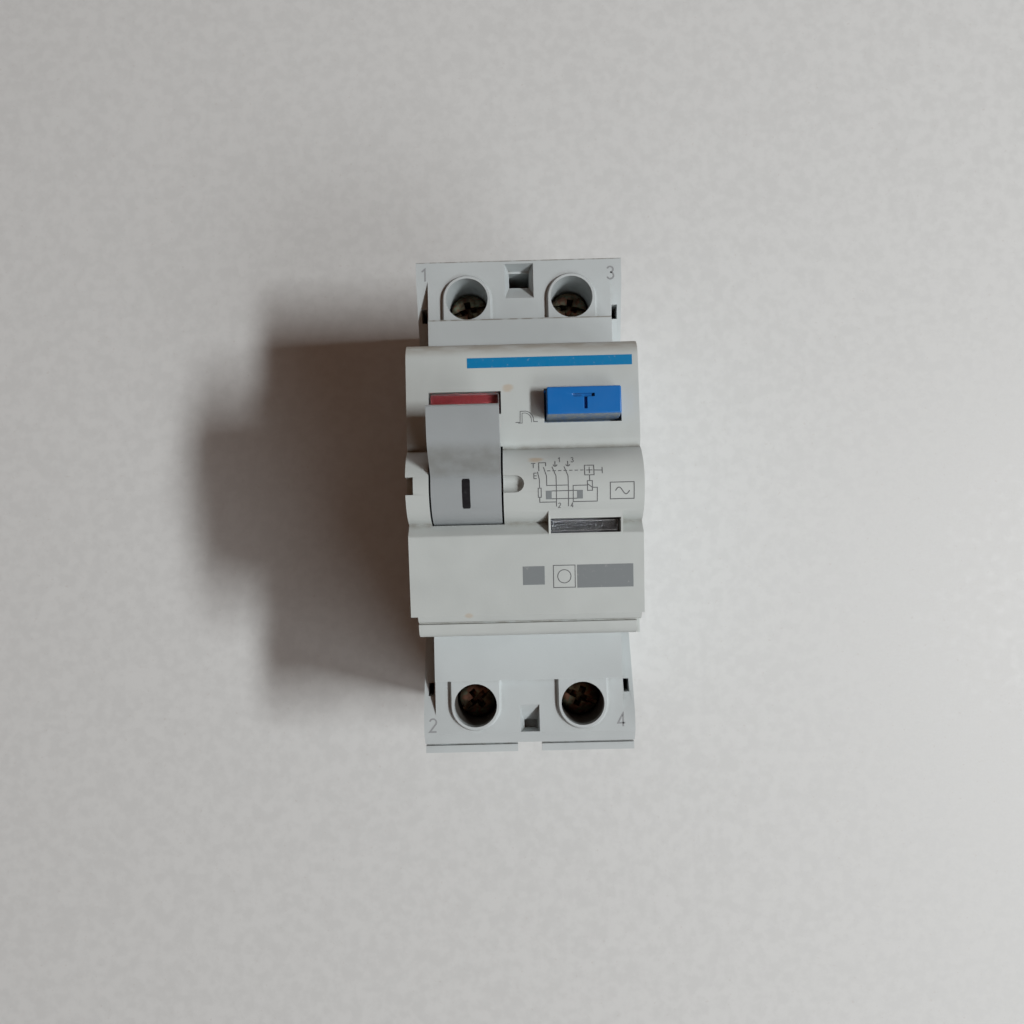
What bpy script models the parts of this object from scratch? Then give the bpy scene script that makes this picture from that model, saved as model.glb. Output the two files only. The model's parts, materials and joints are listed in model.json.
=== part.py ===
"""Residual current device, two modules wide, for a 35 mm DIN rail.

The origin lies on the plane of the rail's front faces, at the middle of the width and on the
rail's centre line. +X is to the right as the device is read, +Y points to the line terminals
1 and 3, and +Z points out of the front. Lengths below are in millimetres.
"""

import math

import bmesh
import bpy
from mathutils import Matrix, Vector

MM = 0.001
GAP = 0.3
WALL = 1.4

# Housing
HALF_WIDTH = 17.75
INNER_HALF_WIDTH = HALF_WIDTH - WALL
TOP_END = 40.6
BOTTOM_END = -42.0
LIP_END = -43.7
LIP_TOP = 41.7
LIP_GROOVE = 0.5
BACK_Z = -5.5
PARTING_Z = 6.0
FACE_Z = 44.0
FACE_BOTTOM_EDGE = -40.15
STRIP_Z = 46.5
BLOCK_HALF_WIDTH = 15.75
STRIP_HALF_WIDTH = 15.55
STRIP_TOP_EDGE = 29.75
STRIP_BOTTOM_EDGE = -31.0
RIM_Z = 38.5

# Rail seat: the faces that the rail lies on end short of the hook and the clip
SEAT_TOP = 16.2
SEAT_BOTTOM = -15.9
SEAT_RELIEF = 0.25

# Nose of the front cover; its ends step back where they pass behind the strips
NOSE_TOP = 22.5
NOSE_BOTTOM = -22.7
NOSE_STEP = 0.2
NOSE_STEP_Z = 46.9
PANEL_Z = 60.0
BARREL_RADIUS = 6.0
TIE_RADIUS = 1.35
TIE_END = -1.4
TOGGLE_Y = 0.3
TOGGLE_Z = 57.0

# Terminals: number, x, y of the screw, and the way out along Y
POLE_X = 9.0
LINE_Y = 33.8
LOAD_Y = -35.35
TERMINALS = (
    (1, -POLE_X, LINE_Y, 1),
    (3, POLE_X, LINE_Y, 1),
    (2, -POLE_X, LOAD_Y, -1),
    (4, POLE_X, LOAD_Y, -1),
)
PAD_HALF_WIDTH = 4.0
PAD_SKIRT = 0.75
PAD_RISE = 0.8
WELL_RADIUS = 3.6
WELL_FLOOR = 32.5
HEAD_TOP = 37.3
HEAD_HEIGHT = 4.0
HEAD_RADIUS = 3.3
SHANK_RADIUS = 2.4
SHANK_END = 18.4
BAR_TOP = 18.0
BAR_THICKNESS = 2.0
BAR_HALF_WIDTH = 2.9
CLAMP_PAD_HALF_WIDTH = 2.6
CLAMP_PAD_HALF_LENGTH = 3.4
CLAMP_PAD_RISE = 0.25
CAGE_HALF_WIDTH = 5.0
CAGE_HALF_LENGTH = 4.0
CAGE_BOTTOM = 6.5
CAGE_TOP = 20.7
CAGE_WALL = 1.4
CHAMBER_TOP = 28.8
ENTRY_LOW = 7.4
ENTRY_HIGH = 15.9

# Contact mechanism
CARRIER_Y = 13.0
CARRIER_Z = 13.0
PIN_RADIUS = 1.2
PIN_HOLE_RADIUS = PIN_RADIUS + GAP
CRANK_Y = -2.9
CRANK_Z = 53.8
LINK_FOOT_Y = 10.0
LINK_FOOT_Z = 26.0
LINK_RADIUS = 0.6
BLADE_HALF_WIDTH = 2.4

# Earth fault sensing and tripping
CORE_X = 1.5
CORE_Z = 17.0
CORE_OUTER_RADIUS = 12.0
CORE_HOLE_RADIUS = 5.6
CORE_FRONT = -11.0
CORE_BACK = -19.6
TRIP_Y = -0.5
TRIP_Z = 34.0
TRIP_PIN_RADIUS = 0.8

# Test button
BUTTON_SIDES = (3.55, 14.7)
BUTTON_FRONT = (9.98, 10.43)
BUTTON_BACK = 14.58
BUTTON_FOOT = 57.4
BUTTON_TOP = 63.0
STEM_X = 9.1
STEM_Y = 12.25

# DIN rail clip
CLIP_HALF_WIDTH = 5.5
CLIP_BACK = -4.6
CLIP_FRONT = -1.3
CLIP_TAB_END = -44.6
CLIP_NOSE = -16.2

MATERIALS = {}


# ---------------------------------------------------------------- materials


def make_material(name, colour, roughness, metallic=0.0, alpha=1.0):
    """A Principled material under its own name."""
    material = bpy.data.materials.new(name)
    material.use_nodes = True
    shader = material.node_tree.nodes["Principled BSDF"]
    shader.inputs["Base Color"].default_value = (*colour, 1.0)
    shader.inputs["Roughness"].default_value = roughness
    shader.inputs["Metallic"].default_value = metallic
    shader.inputs["Alpha"].default_value = alpha
    material.diffuse_color = (*colour, alpha)
    MATERIALS[name] = material


def make_materials():
    """Every material of the device."""
    make_material("housing_grey", (0.53, 0.56, 0.56), 0.5)
    make_material("cover_cream", (0.60, 0.60, 0.56), 0.45)
    make_material("clip_grey", (0.30, 0.32, 0.33), 0.55)
    make_material("toggle_grey", (0.25, 0.28, 0.29), 0.42)
    make_material("button_blue", (0.02, 0.12, 0.42), 0.4)
    make_material("flag_red", (0.42, 0.03, 0.03), 0.5)
    make_material("flag_dark", (0.05, 0.05, 0.06), 0.5)
    make_material("lens_clear", (0.9, 0.92, 0.92), 0.1, alpha=0.35)
    make_material("carrier_black", (0.04, 0.04, 0.045), 0.55)
    make_material("core_case", (0.70, 0.62, 0.42), 0.5)
    make_material("steel", (0.55, 0.55, 0.56), 0.35, 1.0)
    make_material("plated_steel", (0.60, 0.52, 0.34), 0.35, 1.0)
    make_material("brass", (0.75, 0.55, 0.25), 0.35, 1.0)
    make_material("copper", (0.80, 0.42, 0.28), 0.35, 1.0)
    make_material("silver", (0.85, 0.85, 0.83), 0.3, 1.0)
    make_material("resistor_body", (0.62, 0.50, 0.36), 0.5)


# ---------------------------------------------------------------- shapes


def clear_scene():
    for obj in list(bpy.data.objects):
        bpy.data.objects.remove(obj, do_unlink=True)


def add_object(name, data, material):
    """Link the data as an object, with one material where it is a piece and none on a cutter."""
    obj = bpy.data.objects.new(name, data)
    bpy.context.scene.collection.objects.link(obj)
    if material is not None:
        data.materials.append(MATERIALS[material])
    return obj


def add_mesh(name, bm, material):
    bmesh.ops.recalc_face_normals(bm, faces=bm.faces)
    mesh = bpy.data.meshes.new(name)
    bm.to_mesh(mesh)
    bm.free()
    mesh.shade_smooth()
    mesh.set_sharp_from_angle(angle=math.radians(28))
    return add_object(name, mesh, material)


def prism(name, axis, outline, low, high, material=None):
    """The outline drawn across an axis and extruded from low to high along it.

    The outline's two coordinates are the other two axes, in alphabetical order.
    """
    order = {"X": (2, 0, 1), "Y": (0, 2, 1), "Z": (0, 1, 2)}[axis]
    bm = bmesh.new()
    rings = []
    for level in (low, high):
        ring = []
        for first, second in outline:
            point = (first, second, level)
            ring.append(bm.verts.new([point[i] * MM for i in order]))
        rings.append(ring)
    bm.faces.new(rings[0])
    bm.faces.new(rings[1])
    count = len(outline)
    for i in range(count):
        j = (i + 1) % count
        bm.faces.new((rings[0][i], rings[0][j], rings[1][j], rings[1][i]))
    return add_mesh(name, bm, material)


def block(name, low, high, material=None):
    """A box between two opposite corners."""
    outline = ((low[0], low[1]), (high[0], low[1]), (high[0], high[1]), (low[0], high[1]))
    return prism(name, "Z", outline, low[2], high[2], material)


def arc(centre, radius, start, end, steps):
    """Points round a centre. Degrees run from the first coordinate's axis to the second's."""
    points = []
    for i in range(steps + 1):
        angle = math.radians(start + (end - start) * i / steps)
        points.append((centre[0] + radius * math.cos(angle), centre[1] + radius * math.sin(angle)))
    return points


def rod(name, axis, centre, radius, low, high, material=None, sides=24):
    """A round bar along an axis."""
    return prism(name, axis, arc(centre, radius, 0, 360 - 360 / sides, sides - 1), low, high, material)


def ball(name, centre, radius, sides=16):
    bm = bmesh.new()
    bmesh.ops.create_uvsphere(bm, u_segments=sides, v_segments=sides // 2, radius=radius * MM)
    bmesh.ops.translate(bm, verts=bm.verts, vec=Vector(centre) * MM)
    return add_mesh(name, bm, None)


def tapered(name, low_outline, high_outline, low, high, material=None):
    """A solid along Z whose outline changes from one end to the other."""
    bm = bmesh.new()
    rings = []
    for outline, level in ((low_outline, low), (high_outline, high)):
        rings.append([bm.verts.new((x * MM, y * MM, level * MM)) for x, y in outline])
    bm.faces.new(rings[0])
    bm.faces.new(rings[1])
    for i in range(len(low_outline)):
        j = (i + 1) % len(low_outline)
        bm.faces.new((rings[0][i], rings[0][j], rings[1][j], rings[1][i]))
    return add_mesh(name, bm, material)


def wire(name, points, radius, material):
    """A round wire along points."""
    curve = bpy.data.curves.new(name, "CURVE")
    curve.dimensions = "3D"
    curve.bevel_depth = radius * MM
    curve.bevel_resolution = 1
    curve.use_fill_caps = True
    spline = curve.splines.new("POLY")
    spline.points.add(len(points) - 1)
    for i, (x, y, z) in enumerate(points):
        spline.points[i].co = (x * MM, y * MM, z * MM, 1.0)
    return add_object(name, curve, material)


def helix(axis, centre, radius, low, high, turns, per_turn=9):
    """Points of a coil along an axis; the centre's coordinates are those of the other two axes."""
    points = []
    count = int(turns * per_turn)
    for i in range(count + 1):
        angle = 2 * math.pi * turns * i / count
        first = centre[0] + radius * math.cos(angle)
        second = centre[1] + radius * math.sin(angle)
        along = low + (high - low) * i / count
        order = {"X": (along, first, second), "Y": (first, along, second), "Z": (first, second, along)}
        points.append(order[axis])
    return points


def combine(target, operation, tools):
    for tool in tools:
        modifier = target.modifiers.new(tool.name, "BOOLEAN")
        modifier.operation = operation
        modifier.solver = "EXACT"
        modifier.object = tool
        tool.hide_render = True
        tool.display_type = "WIRE"


def cut(target, *tools):
    combine(target, "DIFFERENCE", tools)


def fuse(target, *tools):
    combine(target, "UNION", tools)


def round_edges(target, width, segments=1, angle=40):
    """A small bevel on every edge sharper than the angle."""
    modifier = target.modifiers.new("rounded_edges", "BEVEL")
    modifier.width = width * MM
    modifier.segments = segments
    modifier.limit_method = "ANGLE"
    modifier.angle_limit = math.radians(angle)


def pivot_at(target, x, y, z):
    """Put the object's origin on its joint's axis without moving its shape."""
    place = Vector((x, y, z)) * MM
    target.data.transform(Matrix.Translation(-place))
    target.location = place


# ---------------------------------------------------------------- housing


def rear_base():
    """The tray at the back, with the rail seat, the fixed rail hook and the clip's channel."""
    top = PARTING_Z - GAP
    chamfer = 1.5
    outline = (
        (TOP_END, top),
        (BOTTOM_END, top),
        (BOTTOM_END, BACK_Z + chamfer),
        (BOTTOM_END + chamfer, BACK_Z),
        (-18.8, BACK_Z),
        (-18.8, SEAT_RELIEF),
        (SEAT_BOTTOM, SEAT_RELIEF),
        (SEAT_BOTTOM, 0.0),
        (SEAT_TOP, 0.0),
        (SEAT_TOP, SEAT_RELIEF),
        (18.0, SEAT_RELIEF),
        (18.0, -1.4),
        (16.5, -1.4),
        (16.5, -3.4),
        (18.2, BACK_Z),
        (TOP_END - chamfer, BACK_Z),
        (TOP_END, BACK_Z + chamfer),
    )
    base = prism("rear_base", "X", outline, -HALF_WIDTH, HALF_WIDTH, "housing_grey")
    floor = 1.6
    hollow = (
        (TOP_END - WALL, top + 1),
        (TOP_END - WALL, BACK_Z + WALL),
        (19.6, BACK_Z + WALL),
        (19.6, floor),
        (BOTTOM_END + WALL, floor),
        (BOTTOM_END + WALL, top + 1),
    )
    channel_half = CLIP_HALF_WIDTH + GAP
    lip = 1.6
    cut(
        base,
        prism("base_hollow", "X", hollow, -INNER_HALF_WIDTH, INNER_HALF_WIDTH),
        block("clip_channel", (-channel_half, -45, CLIP_BACK - GAP), (channel_half, -17, CLIP_FRONT + GAP)),
        block("clip_slot", (-channel_half + lip, -45, -7), (channel_half - lip, -17, CLIP_BACK)),
    )
    fuse(base, block("clip_post", (-1.2, -34.5, CLIP_BACK + 0.2), (1.2, -33.3, 0.0)))
    cradle_half = 5.0
    for i, y in enumerate((CORE_FRONT - 2.0, CORE_BACK + 1.0)):
        rib = block(f"core_rib_{i}", (CORE_X - cradle_half, y, 1.0), (CORE_X + cradle_half, y + 1.0, 5.6))
        seat = CORE_OUTER_RADIUS + GAP
        ring = rod(f"core_rib_ring_{i}", "Y", (CORE_X, CORE_Z), seat, y - 1, y + 2, sides=48)
        cut(rib, ring)
        fuse(base, rib)


def terminal_housing():
    """The front shell: terminal faces, raised strips, side flanges and the opening for the nose."""
    outline = (
        (TOP_END, PARTING_Z),
        (TOP_END, FACE_Z),
        (NOSE_TOP + GAP, FACE_Z),
        (NOSE_TOP + GAP, RIM_Z),
        (NOSE_BOTTOM - GAP, RIM_Z),
        (NOSE_BOTTOM - GAP, FACE_Z),
        (FACE_BOTTOM_EDGE, FACE_Z),
        (BOTTOM_END, FACE_Z - 1.5),
        (BOTTOM_END, PARTING_Z),
    )
    shell = prism("terminal_housing", "X", outline, -HALF_WIDTH, HALF_WIDTH, "housing_grey")
    add_strips_and_lip(shell)
    slope_flanges(shell)
    hollow_mechanism_room(shell)
    for number, x, y, way in TERMINALS:
        make_terminal_room(shell, number, x, y, way)
    cut_centre_windows(shell)
    cut_snap_slots(shell)
    cut(shell, rod("carrier_pin_seats", "X", (CARRIER_Y, CARRIER_Z), PIN_HOLE_RADIUS, -17.3, 17.3))
    cut(shell, rod("trip_pin_seat", "X", (TRIP_Y, TRIP_Z), TRIP_PIN_RADIUS + GAP, 15.0, 17.3))


def add_strips_and_lip(shell):
    half = STRIP_HALF_WIDTH
    fuse(
        shell,
        block("line_strip", (-half, NOSE_TOP + GAP, 42.0), (half, STRIP_TOP_EDGE, STRIP_Z)),
        block("load_strip", (-half, STRIP_BOTTOM_EDGE, 42.0), (half, NOSE_BOTTOM - GAP, STRIP_Z)),
    )
    lip = block("end_lip", (-HALF_WIDTH, LIP_END, LIP_TOP - 1.3), (HALF_WIDTH, BOTTOM_END + 0.8, LIP_TOP))
    cut(
        lip,
        block("lip_notch", (-2.05, -45.0, 39.0), (2.05, BOTTOM_END - 0.05, 43.0)),
        block("lip_groove", (-20, BOTTOM_END - LIP_GROOVE, LIP_TOP - 0.7), (20, BOTTOM_END, LIP_TOP + 1)),
    )
    fuse(shell, lip)


def slope_flanges(shell):
    """The side flanges fall away from the terminal face towards the nose."""
    for side in (-1, 1):
        low, high = sorted((side * BLOCK_HALF_WIDTH, side * (HALF_WIDTH + 1)))
        name = "left" if side < 0 else "right"
        line_slope = ((37.3, FACE_Z + 0.02), (22.0, 38.2), (20.0, 38.0), (20.0, 48.0), (37.3, 48.0))
        load_slope = ((-37.0, FACE_Z + 0.02), (-22.2, 38.2), (-20.0, 38.0), (-20.0, 48.0), (-37.0, 48.0))
        cut(
            shell,
            prism(f"line_slope_{name}", "X", line_slope, low, high),
            prism(f"load_slope_{name}", "X", load_slope, low, high),
        )


def hollow_mechanism_room(shell):
    half = INNER_HALF_WIDTH
    cut(
        shell,
        block("room", (-half, -25.2, 4.0), (half, 25.2, 36.6)),
        block("room_mouth", (-half, NOSE_BOTTOM + WALL, 30.0), (half, NOSE_TOP - WALL, 41.0)),
    )


def make_terminal_room(shell, number, x, y, way):
    """The raised pad, the screw's well, the cage's chamber and the cable entry of one terminal."""
    strip = STRIP_TOP_EDGE - 1 if way > 0 else STRIP_BOTTOM_EDGE + 1
    turn = 0 if way > 0 else 180
    outlines = []
    for half in (PAD_HALF_WIDTH + PAD_SKIRT, PAD_HALF_WIDTH):
        outline = arc((x, y), half, turn, turn + 180, 16)
        outline += [(x - half * way, strip), (x + half * way, strip)]
        outlines.append(outline)
    fuse(shell, tapered(f"pad_{number}", outlines[0], outlines[1], FACE_Z - 0.75, FACE_Z + PAD_RISE))
    side = CAGE_HALF_WIDTH + 0.6
    reach = CAGE_HALF_LENGTH + 0.9
    slot_from, slot_to = sorted((24.0 * way, (y * way - reach + 1) * way))
    entry_from, entry_to = sorted((y + way * (reach - 1), y + way * 9))
    cut(
        shell,
        rod(f"well_{number}", "Z", (x, y), WELL_RADIUS, WELL_FLOOR, 50, sides=36),
        rod(f"shank_hole_{number}", "Z", (x, y), SHANK_RADIUS + 0.4, 20, 40),
        block(f"chamber_{number}", (x - side, y - reach, 4), (x + side, y + reach, CHAMBER_TOP)),
        block(
            f"bar_slot_{number}",
            (x - BAR_HALF_WIDTH - GAP, slot_from, BAR_TOP - BAR_THICKNESS - GAP),
            (x + BAR_HALF_WIDTH + GAP, slot_to, BAR_TOP + GAP),
        ),
        block(f"entry_{number}", (x - 4.3, entry_from, ENTRY_LOW), (x + 4.3, entry_to, ENTRY_HIGH)),
    )


def cut_centre_windows(shell):
    """The tapered window between the line terminals, and the shallow pocket between the load ones."""
    wide = ((-2.46, 33.95), (2.54, 33.95), (2.54, 40.04), (-2.46, 40.04))
    narrow = ((-1.73, 36.45), (1.86, 36.45), (1.86, 39.45), (-1.73, 39.45))
    pocket_mouth = ((-1.56, -39.98), (1.7, -39.98), (1.7, -35.45), (-1.56, -35.45))
    pocket_throat = ((-0.97, -39.95), (1.45, -39.95), (1.45, -38.4), (-0.97, -38.4))
    cut(
        shell,
        tapered("window_funnel", narrow, wide, FACE_Z - 2.5, FACE_Z + 0.02),
        block("window_shaft", (-1.7, 36.5, 20.0), (1.83, 39.1, FACE_Z - 1.0)),
        tapered("pocket_funnel", pocket_throat, pocket_mouth, FACE_Z - 2.7, FACE_Z + 0.02),
        block("pocket_floor", (-0.9, -39.9, FACE_Z - 4.2), (1.4, -38.45, FACE_Z - 1.0)),
    )


def cut_snap_slots(shell):
    """Four narrow slots in the flanges for the catches that hold the two shells together."""
    for side in (-1, 1):
        low, high = sorted((side * 16.1, side * 17.05))
        name = "left" if side < 0 else "right"
        cut(
            shell,
            block(f"line_snap_{name}", (low, 30.6, 26.0), (high, 32.9, 46.0)),
            block(f"load_snap_{name}", (low, -33.9, 26.0), (high, -31.8, 46.0)),
        )


def cover_outline():
    """The nose in side view, from its line end over the top to its load end."""
    points = [
        (NOSE_TOP - NOSE_STEP, RIM_Z + GAP),
        (NOSE_TOP - NOSE_STEP, NOSE_STEP_Z),
        (NOSE_TOP, NOSE_STEP_Z),
    ]
    points += arc((NOSE_TOP - 2.8, PANEL_Z - 2.8), 2.8, 0, 90, 6)
    points += [(7.3, PANEL_Z), (6.5, 59.8), (6.0, 59.4)]
    points += arc((TOGGLE_Y, TOGGLE_Z), BARREL_RADIUS, 22, 163, 22)
    points += [(-7.15, 60.35), (-7.5, 60.45)]
    points += [(-19.45, 58.7), (-20.3, 57.9), (-20.4, 57.2), (-20.6, 57.2), (-20.7, 57.7)]
    points += arc((-20.7, 55.7), 2.0, 90, 180, 4)
    points += [
        (NOSE_BOTTOM, NOSE_STEP_Z),
        (NOSE_BOTTOM + NOSE_STEP, NOSE_STEP_Z),
        (NOSE_BOTTOM + NOSE_STEP, RIM_Z + GAP),
    ]
    return points


def cover_hollow():
    """The nose's inner side: the outline moved inwards by the wall."""
    points = [(NOSE_TOP - WALL, RIM_Z - 1), (NOSE_TOP - WALL, 57.2), (19.6, PANEL_Z - WALL)]
    points += [(7.7, PANEL_Z - WALL), (6.6, 57.9), (5.0, 57.6)]
    points += arc((TOGGLE_Y, TOGGLE_Z), BARREL_RADIUS - WALL, 9, 171, 10)
    points += [(-6.9, 57.5), (-7.7, 59.0), (-18.9, 57.3), (-20.0, 56.0)]
    points += [(NOSE_BOTTOM + WALL, 54.5), (NOSE_BOTTOM + WALL, RIM_Z - 1)]
    return points


def front_cover():
    """The nose, with the openings for the toggle, the flags and the button."""
    cover = prism("front_cover", "X", cover_outline(), -HALF_WIDTH, HALF_WIDTH, "cover_cream")
    cut(cover, prism("cover_hollow", "X", cover_hollow(), -INNER_HALF_WIDTH, INNER_HALF_WIDTH))
    web = block("toggle_web", (-2.0, -4.0, 52.5), (-0.6, 4.6, 60.0))
    boss = block("toggle_boss", (-17.0, -3.0, 54.0), (-15.9, 3.6, 60.0))
    fuse(cover, web, boss, window_bridge())
    cut(
        cover,
        rod("toggle_pin_seat", "X", (TOGGLE_Y, TOGGLE_Z), PIN_HOLE_RADIUS, -17.2, 0.0),
        rod("toggle_room", "X", (TOGGLE_Y, TOGGLE_Z), BARREL_RADIUS + 0.25, -14.3, -3.2, sides=72),
        block("toggle_slot", (-14.3, -5.3, 49.0), (-3.2, 6.25, 66.0)),
        block("flag_window", (-14.35, 11.2, 55.0), (-3.3, 14.7, 66.0)),
        block("button_hole", (3.25, 9.65, 55.0), (15.0, 14.9, 66.0)),
        block("fault_window", (3.75, -7.2, 55.0), (14.3, -5.0, 66.0)),
        rod("tie_groove", "X", (0.2, 63.2), TIE_RADIUS, -3.4, TIE_END),
        ball("tie_groove_end", (TIE_END, 0.2, 63.2), TIE_RADIUS),
        block("side_notch", (-18.5, -1.1, 61.0), (-16.6, 1.55, 65.0)),
        block("lip_step", (-18.5, -24.0, 37.0), (-16.7, -19.45, 60.0)),
        block("lip_step_right", (17.35, -24.0, 37.0), (18.5, -19.45, 60.0)),
        block("lip_cheek", (16.65, -24.0, 55.6), (18.5, -20.5, 60.0)),
    )
    add_cover_legs(cover)


def window_bridge():
    """The raised frame that carries the fault window across the valley below the barrel."""
    outline = ((-3.5, 61.45), (-3.5, 58.4), (-7.3, 58.4), (-7.3, 60.4))
    return prism("window_bridge", "X", outline, 3.45, 14.6)


def add_cover_legs(cover):
    """Four catches that hold the nose inside the terminal housing."""
    for side in (-1, 1):
        for end in (-1, 1):
            inner, outer = sorted((side * 15.15, side * 16.0))
            low, high = sorted((end * 16.0, end * 20.0))
            name = f"cover_leg_{side}_{end}"
            leg = block(name, (inner, low, 31.0), (outer, high, 46.0))
            web_in, web_out = sorted((side * 15.5, side * 17.0))
            root = block(f"{name}_root", (web_in, low, 39.2), (web_out, high, 46.0))
            fuse(cover, root, leg)


def din_clip():
    """The sliding catch behind the rail's lower edge, with an eye for a screwdriver."""
    outline = (
        (CLIP_NOSE, CLIP_FRONT),
        (CLIP_NOSE, -2.4),
        (-18.6, CLIP_BACK),
        (CLIP_TAB_END, CLIP_BACK),
        (CLIP_TAB_END, CLIP_FRONT),
    )
    clip = prism("din_clip", "X", outline, -CLIP_HALF_WIDTH, CLIP_HALF_WIDTH, "clip_grey")
    cut(
        clip,
        block("clip_spring_slot", (-1.9, -36.9, -6.0), (1.9, -22.4, 0.0)),
        block("clip_eye", (-2.2, -43.9, -6.0), (2.2, -42.6, 0.0)),
    )
    points = helix("Y", (0.0, -2.95), 1.2, -32.8, -22.9, 6)
    wire("din_clip_spring", points, 0.22, "steel")


# ---------------------------------------------------------------- front controls


def toggle_outline():
    """The toggle in side view: a round hub, and a lever that rises towards the line end."""
    hub = BARREL_RADIUS - 0.05
    centre = (TOGGLE_Y, TOGGLE_Z)
    points = arc(centre, hub, 79, 389, 36)
    points += [(6.4, 60.55), (8.4, 63.6), (10.7, 66.3), (11.45, 67.2)]
    points += arc((10.95, 67.5), 0.5, 0, 90, 3)
    points += [(8.2, 67.75), (6.2, 67.2), (4.6, 66.2), (3.4, 64.9), (2.5, 63.7)]
    return points


def toggle_lever():
    lever = prism("toggle_lever", "X", toggle_outline(), -14.0, -3.5, "toggle_grey")
    mark = arc((TOGGLE_Y, TOGGLE_Z), BARREL_RADIUS - 0.55, 82.5, 126, 6)
    mark += arc((TOGGLE_Y, TOGGLE_Z), BARREL_RADIUS + 1.5, 126, 82.5, 6)
    cut(
        lever,
        rod("toggle_bore", "X", (TOGGLE_Y, TOGGLE_Z), PIN_HOLE_RADIUS, -15.0, -2.0),
        rod("crank_bore", "X", (CRANK_Y, CRANK_Z), LINK_RADIUS + GAP, -15.0, -2.0, sides=16),
        block("spring_pocket", (-11.6, -2.4, 48.0), (-6.0, 4.0, 59.9)),
        prism("on_mark", "X", mark, -9.25, -8.2),
    )
    pivot_at(lever, 0, TOGGLE_Y, TOGGLE_Z)
    rod("toggle_pin", "X", (TOGGLE_Y, TOGGLE_Z), PIN_RADIUS, -16.9, -0.7, "steel")
    coil = helix("X", (TOGGLE_Y, TOGGLE_Z), 2.0, -10.6, -7.0, 4)
    leg = [(-7.0, 3.0, 54.5), (-7.0, 3.45, 54.0)]
    wire("toggle_spring", coil + leg, 0.3, "steel")


def position_flag():
    """The plate under the upper window, red while the contacts are closed, and the lens above it."""
    flag = block("position_flag", (-14.2, 6.9, 56.9), (-3.5, 15.6, 57.9), "flag_red")
    fuse(flag, block("flag_leg", (-10.5, 6.9, 51.5), (-7.0, 7.9, 57.4)))
    pivot_at(flag, 0, 6.9, 57.4)
    lens = block("position_lens", (-14.05, 11.5, 58.2), (-3.6, 14.4, 59.7), "lens_clear")
    fuse(lens, block("lens_flange", (-14.8, 10.9, 58.2), (-2.9, 15.1, 58.4)))


def test_button():
    """The blue button, its retaining flange and its stem."""
    left, right = BUTTON_SIDES
    outlines = []
    for front in BUTTON_FRONT:
        outlines.append(((left, front), (right, front), (right, BUTTON_BACK), (left, BUTTON_BACK)))
    cap = tapered("test_button", outlines[0], outlines[1], BUTTON_FOOT, BUTTON_TOP, "button_blue")
    round_edges(cap, 0.25, 2)
    bar = block("t_bar", (STEM_X - 1.6, 13.0, BUTTON_TOP - 0.5), (STEM_X + 1.6, 13.5, 65.0))
    post = block("t_post", (STEM_X, 11.2, BUTTON_TOP - 0.5), (STEM_X + 0.5, 13.2, 65.0))
    fuse(
        cap,
        block("button_flange", (2.6, 9.2, 57.0), (15.6, 15.3, 58.2)),
        block("button_stem", (STEM_X - 1.5, STEM_Y - 1.2, 43.8), (STEM_X + 1.5, STEM_Y + 1.2, 57.6)),
    )
    cut(cap, bar, post)
    pivot_at(cap, STEM_X, STEM_Y, BUTTON_TOP)
    wire("test_button_spring", helix("Z", (STEM_X, STEM_Y), 2.5, 46.6, 56.5, 6), 0.25, "steel")


def fault_indicator():
    """The fault flag under its window, and the clear lens in the window."""
    flag = block("fault_flag", (3.8, -11.2, 56.4), (14.3, -4.6, 57.1), "flag_dark")
    fork = block("flag_fork", (8.0, -5.0, 52.2), (10.0, -1.9, 56.9))
    cut(fork, block("fork_slot", (7.0, -4.25, 50.0), (11.0, -2.65, 55.4)))
    fuse(flag, fork, block("fork_root", (8.0, -6.0, 55.6), (10.0, -4.4, 56.9)))
    pivot_at(flag, 9.0, -7.9, 56.75)
    block("indicator_lens", (4.05, -6.9, 57.9), (14.0, -5.3, 59.9), "lens_clear")


# ---------------------------------------------------------------- test circuit


def test_circuit():
    """The bracket that guides the button's stem, the test contact, the resistor and its leads."""
    bracket = block("test_bracket", (2.4, 8.6, 44.8), (14.8, 20.6, 46.2), "carrier_black")
    cut(bracket, block("stem_guide", (STEM_X - 1.9, STEM_Y - 1.6, 44.0), (STEM_X + 1.9, STEM_Y + 1.6, 47.0)))
    for i, y in enumerate((8.6, 19.4)):
        fuse(bracket, block(f"bracket_wall_{i}", (2.4, y, 38.9), (13.4, y + 1.2, 45.2)))
    leaf = ((4.0, 41.5), (13.4, 40.5), (13.4, 40.9), (4.0, 41.9))
    prism("test_contact", "Y", leaf, 11.2, 13.3, "brass")
    resistor = rod("test_resistor", "X", (17.0, 41.0), 1.6, 4.4, 12.4, "resistor_body", sides=16)
    fuse(resistor, rod("resistor_leads", "X", (17.0, 41.0), 0.4, 3.0, 13.6, sides=8))


# ---------------------------------------------------------------- terminals and contacts


def terminal_screw(number, x, y):
    """A cheese-head screw with a crossed slot."""
    name = f"terminal_screw_{number}"
    screw = rod(name, "Z", (x, y), HEAD_RADIUS, HEAD_TOP - HEAD_HEIGHT, HEAD_TOP, "plated_steel", 28)
    fuse(screw, rod(f"shank_{number}", "Z", (x, y), SHANK_RADIUS, SHANK_END, HEAD_TOP - 1, sides=20))
    recess = HEAD_TOP - 1.5
    cut(
        screw,
        block(f"slot_{number}", (x - 2.9, y - 0.5, recess), (x + 2.9, y + 0.5, HEAD_TOP + 1)),
        block(f"cross_{number}", (x - 0.55, y - 1.9, recess), (x + 0.55, y + 1.9, HEAD_TOP + 1)),
    )
    pivot_at(screw, x, y, HEAD_TOP)


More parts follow.
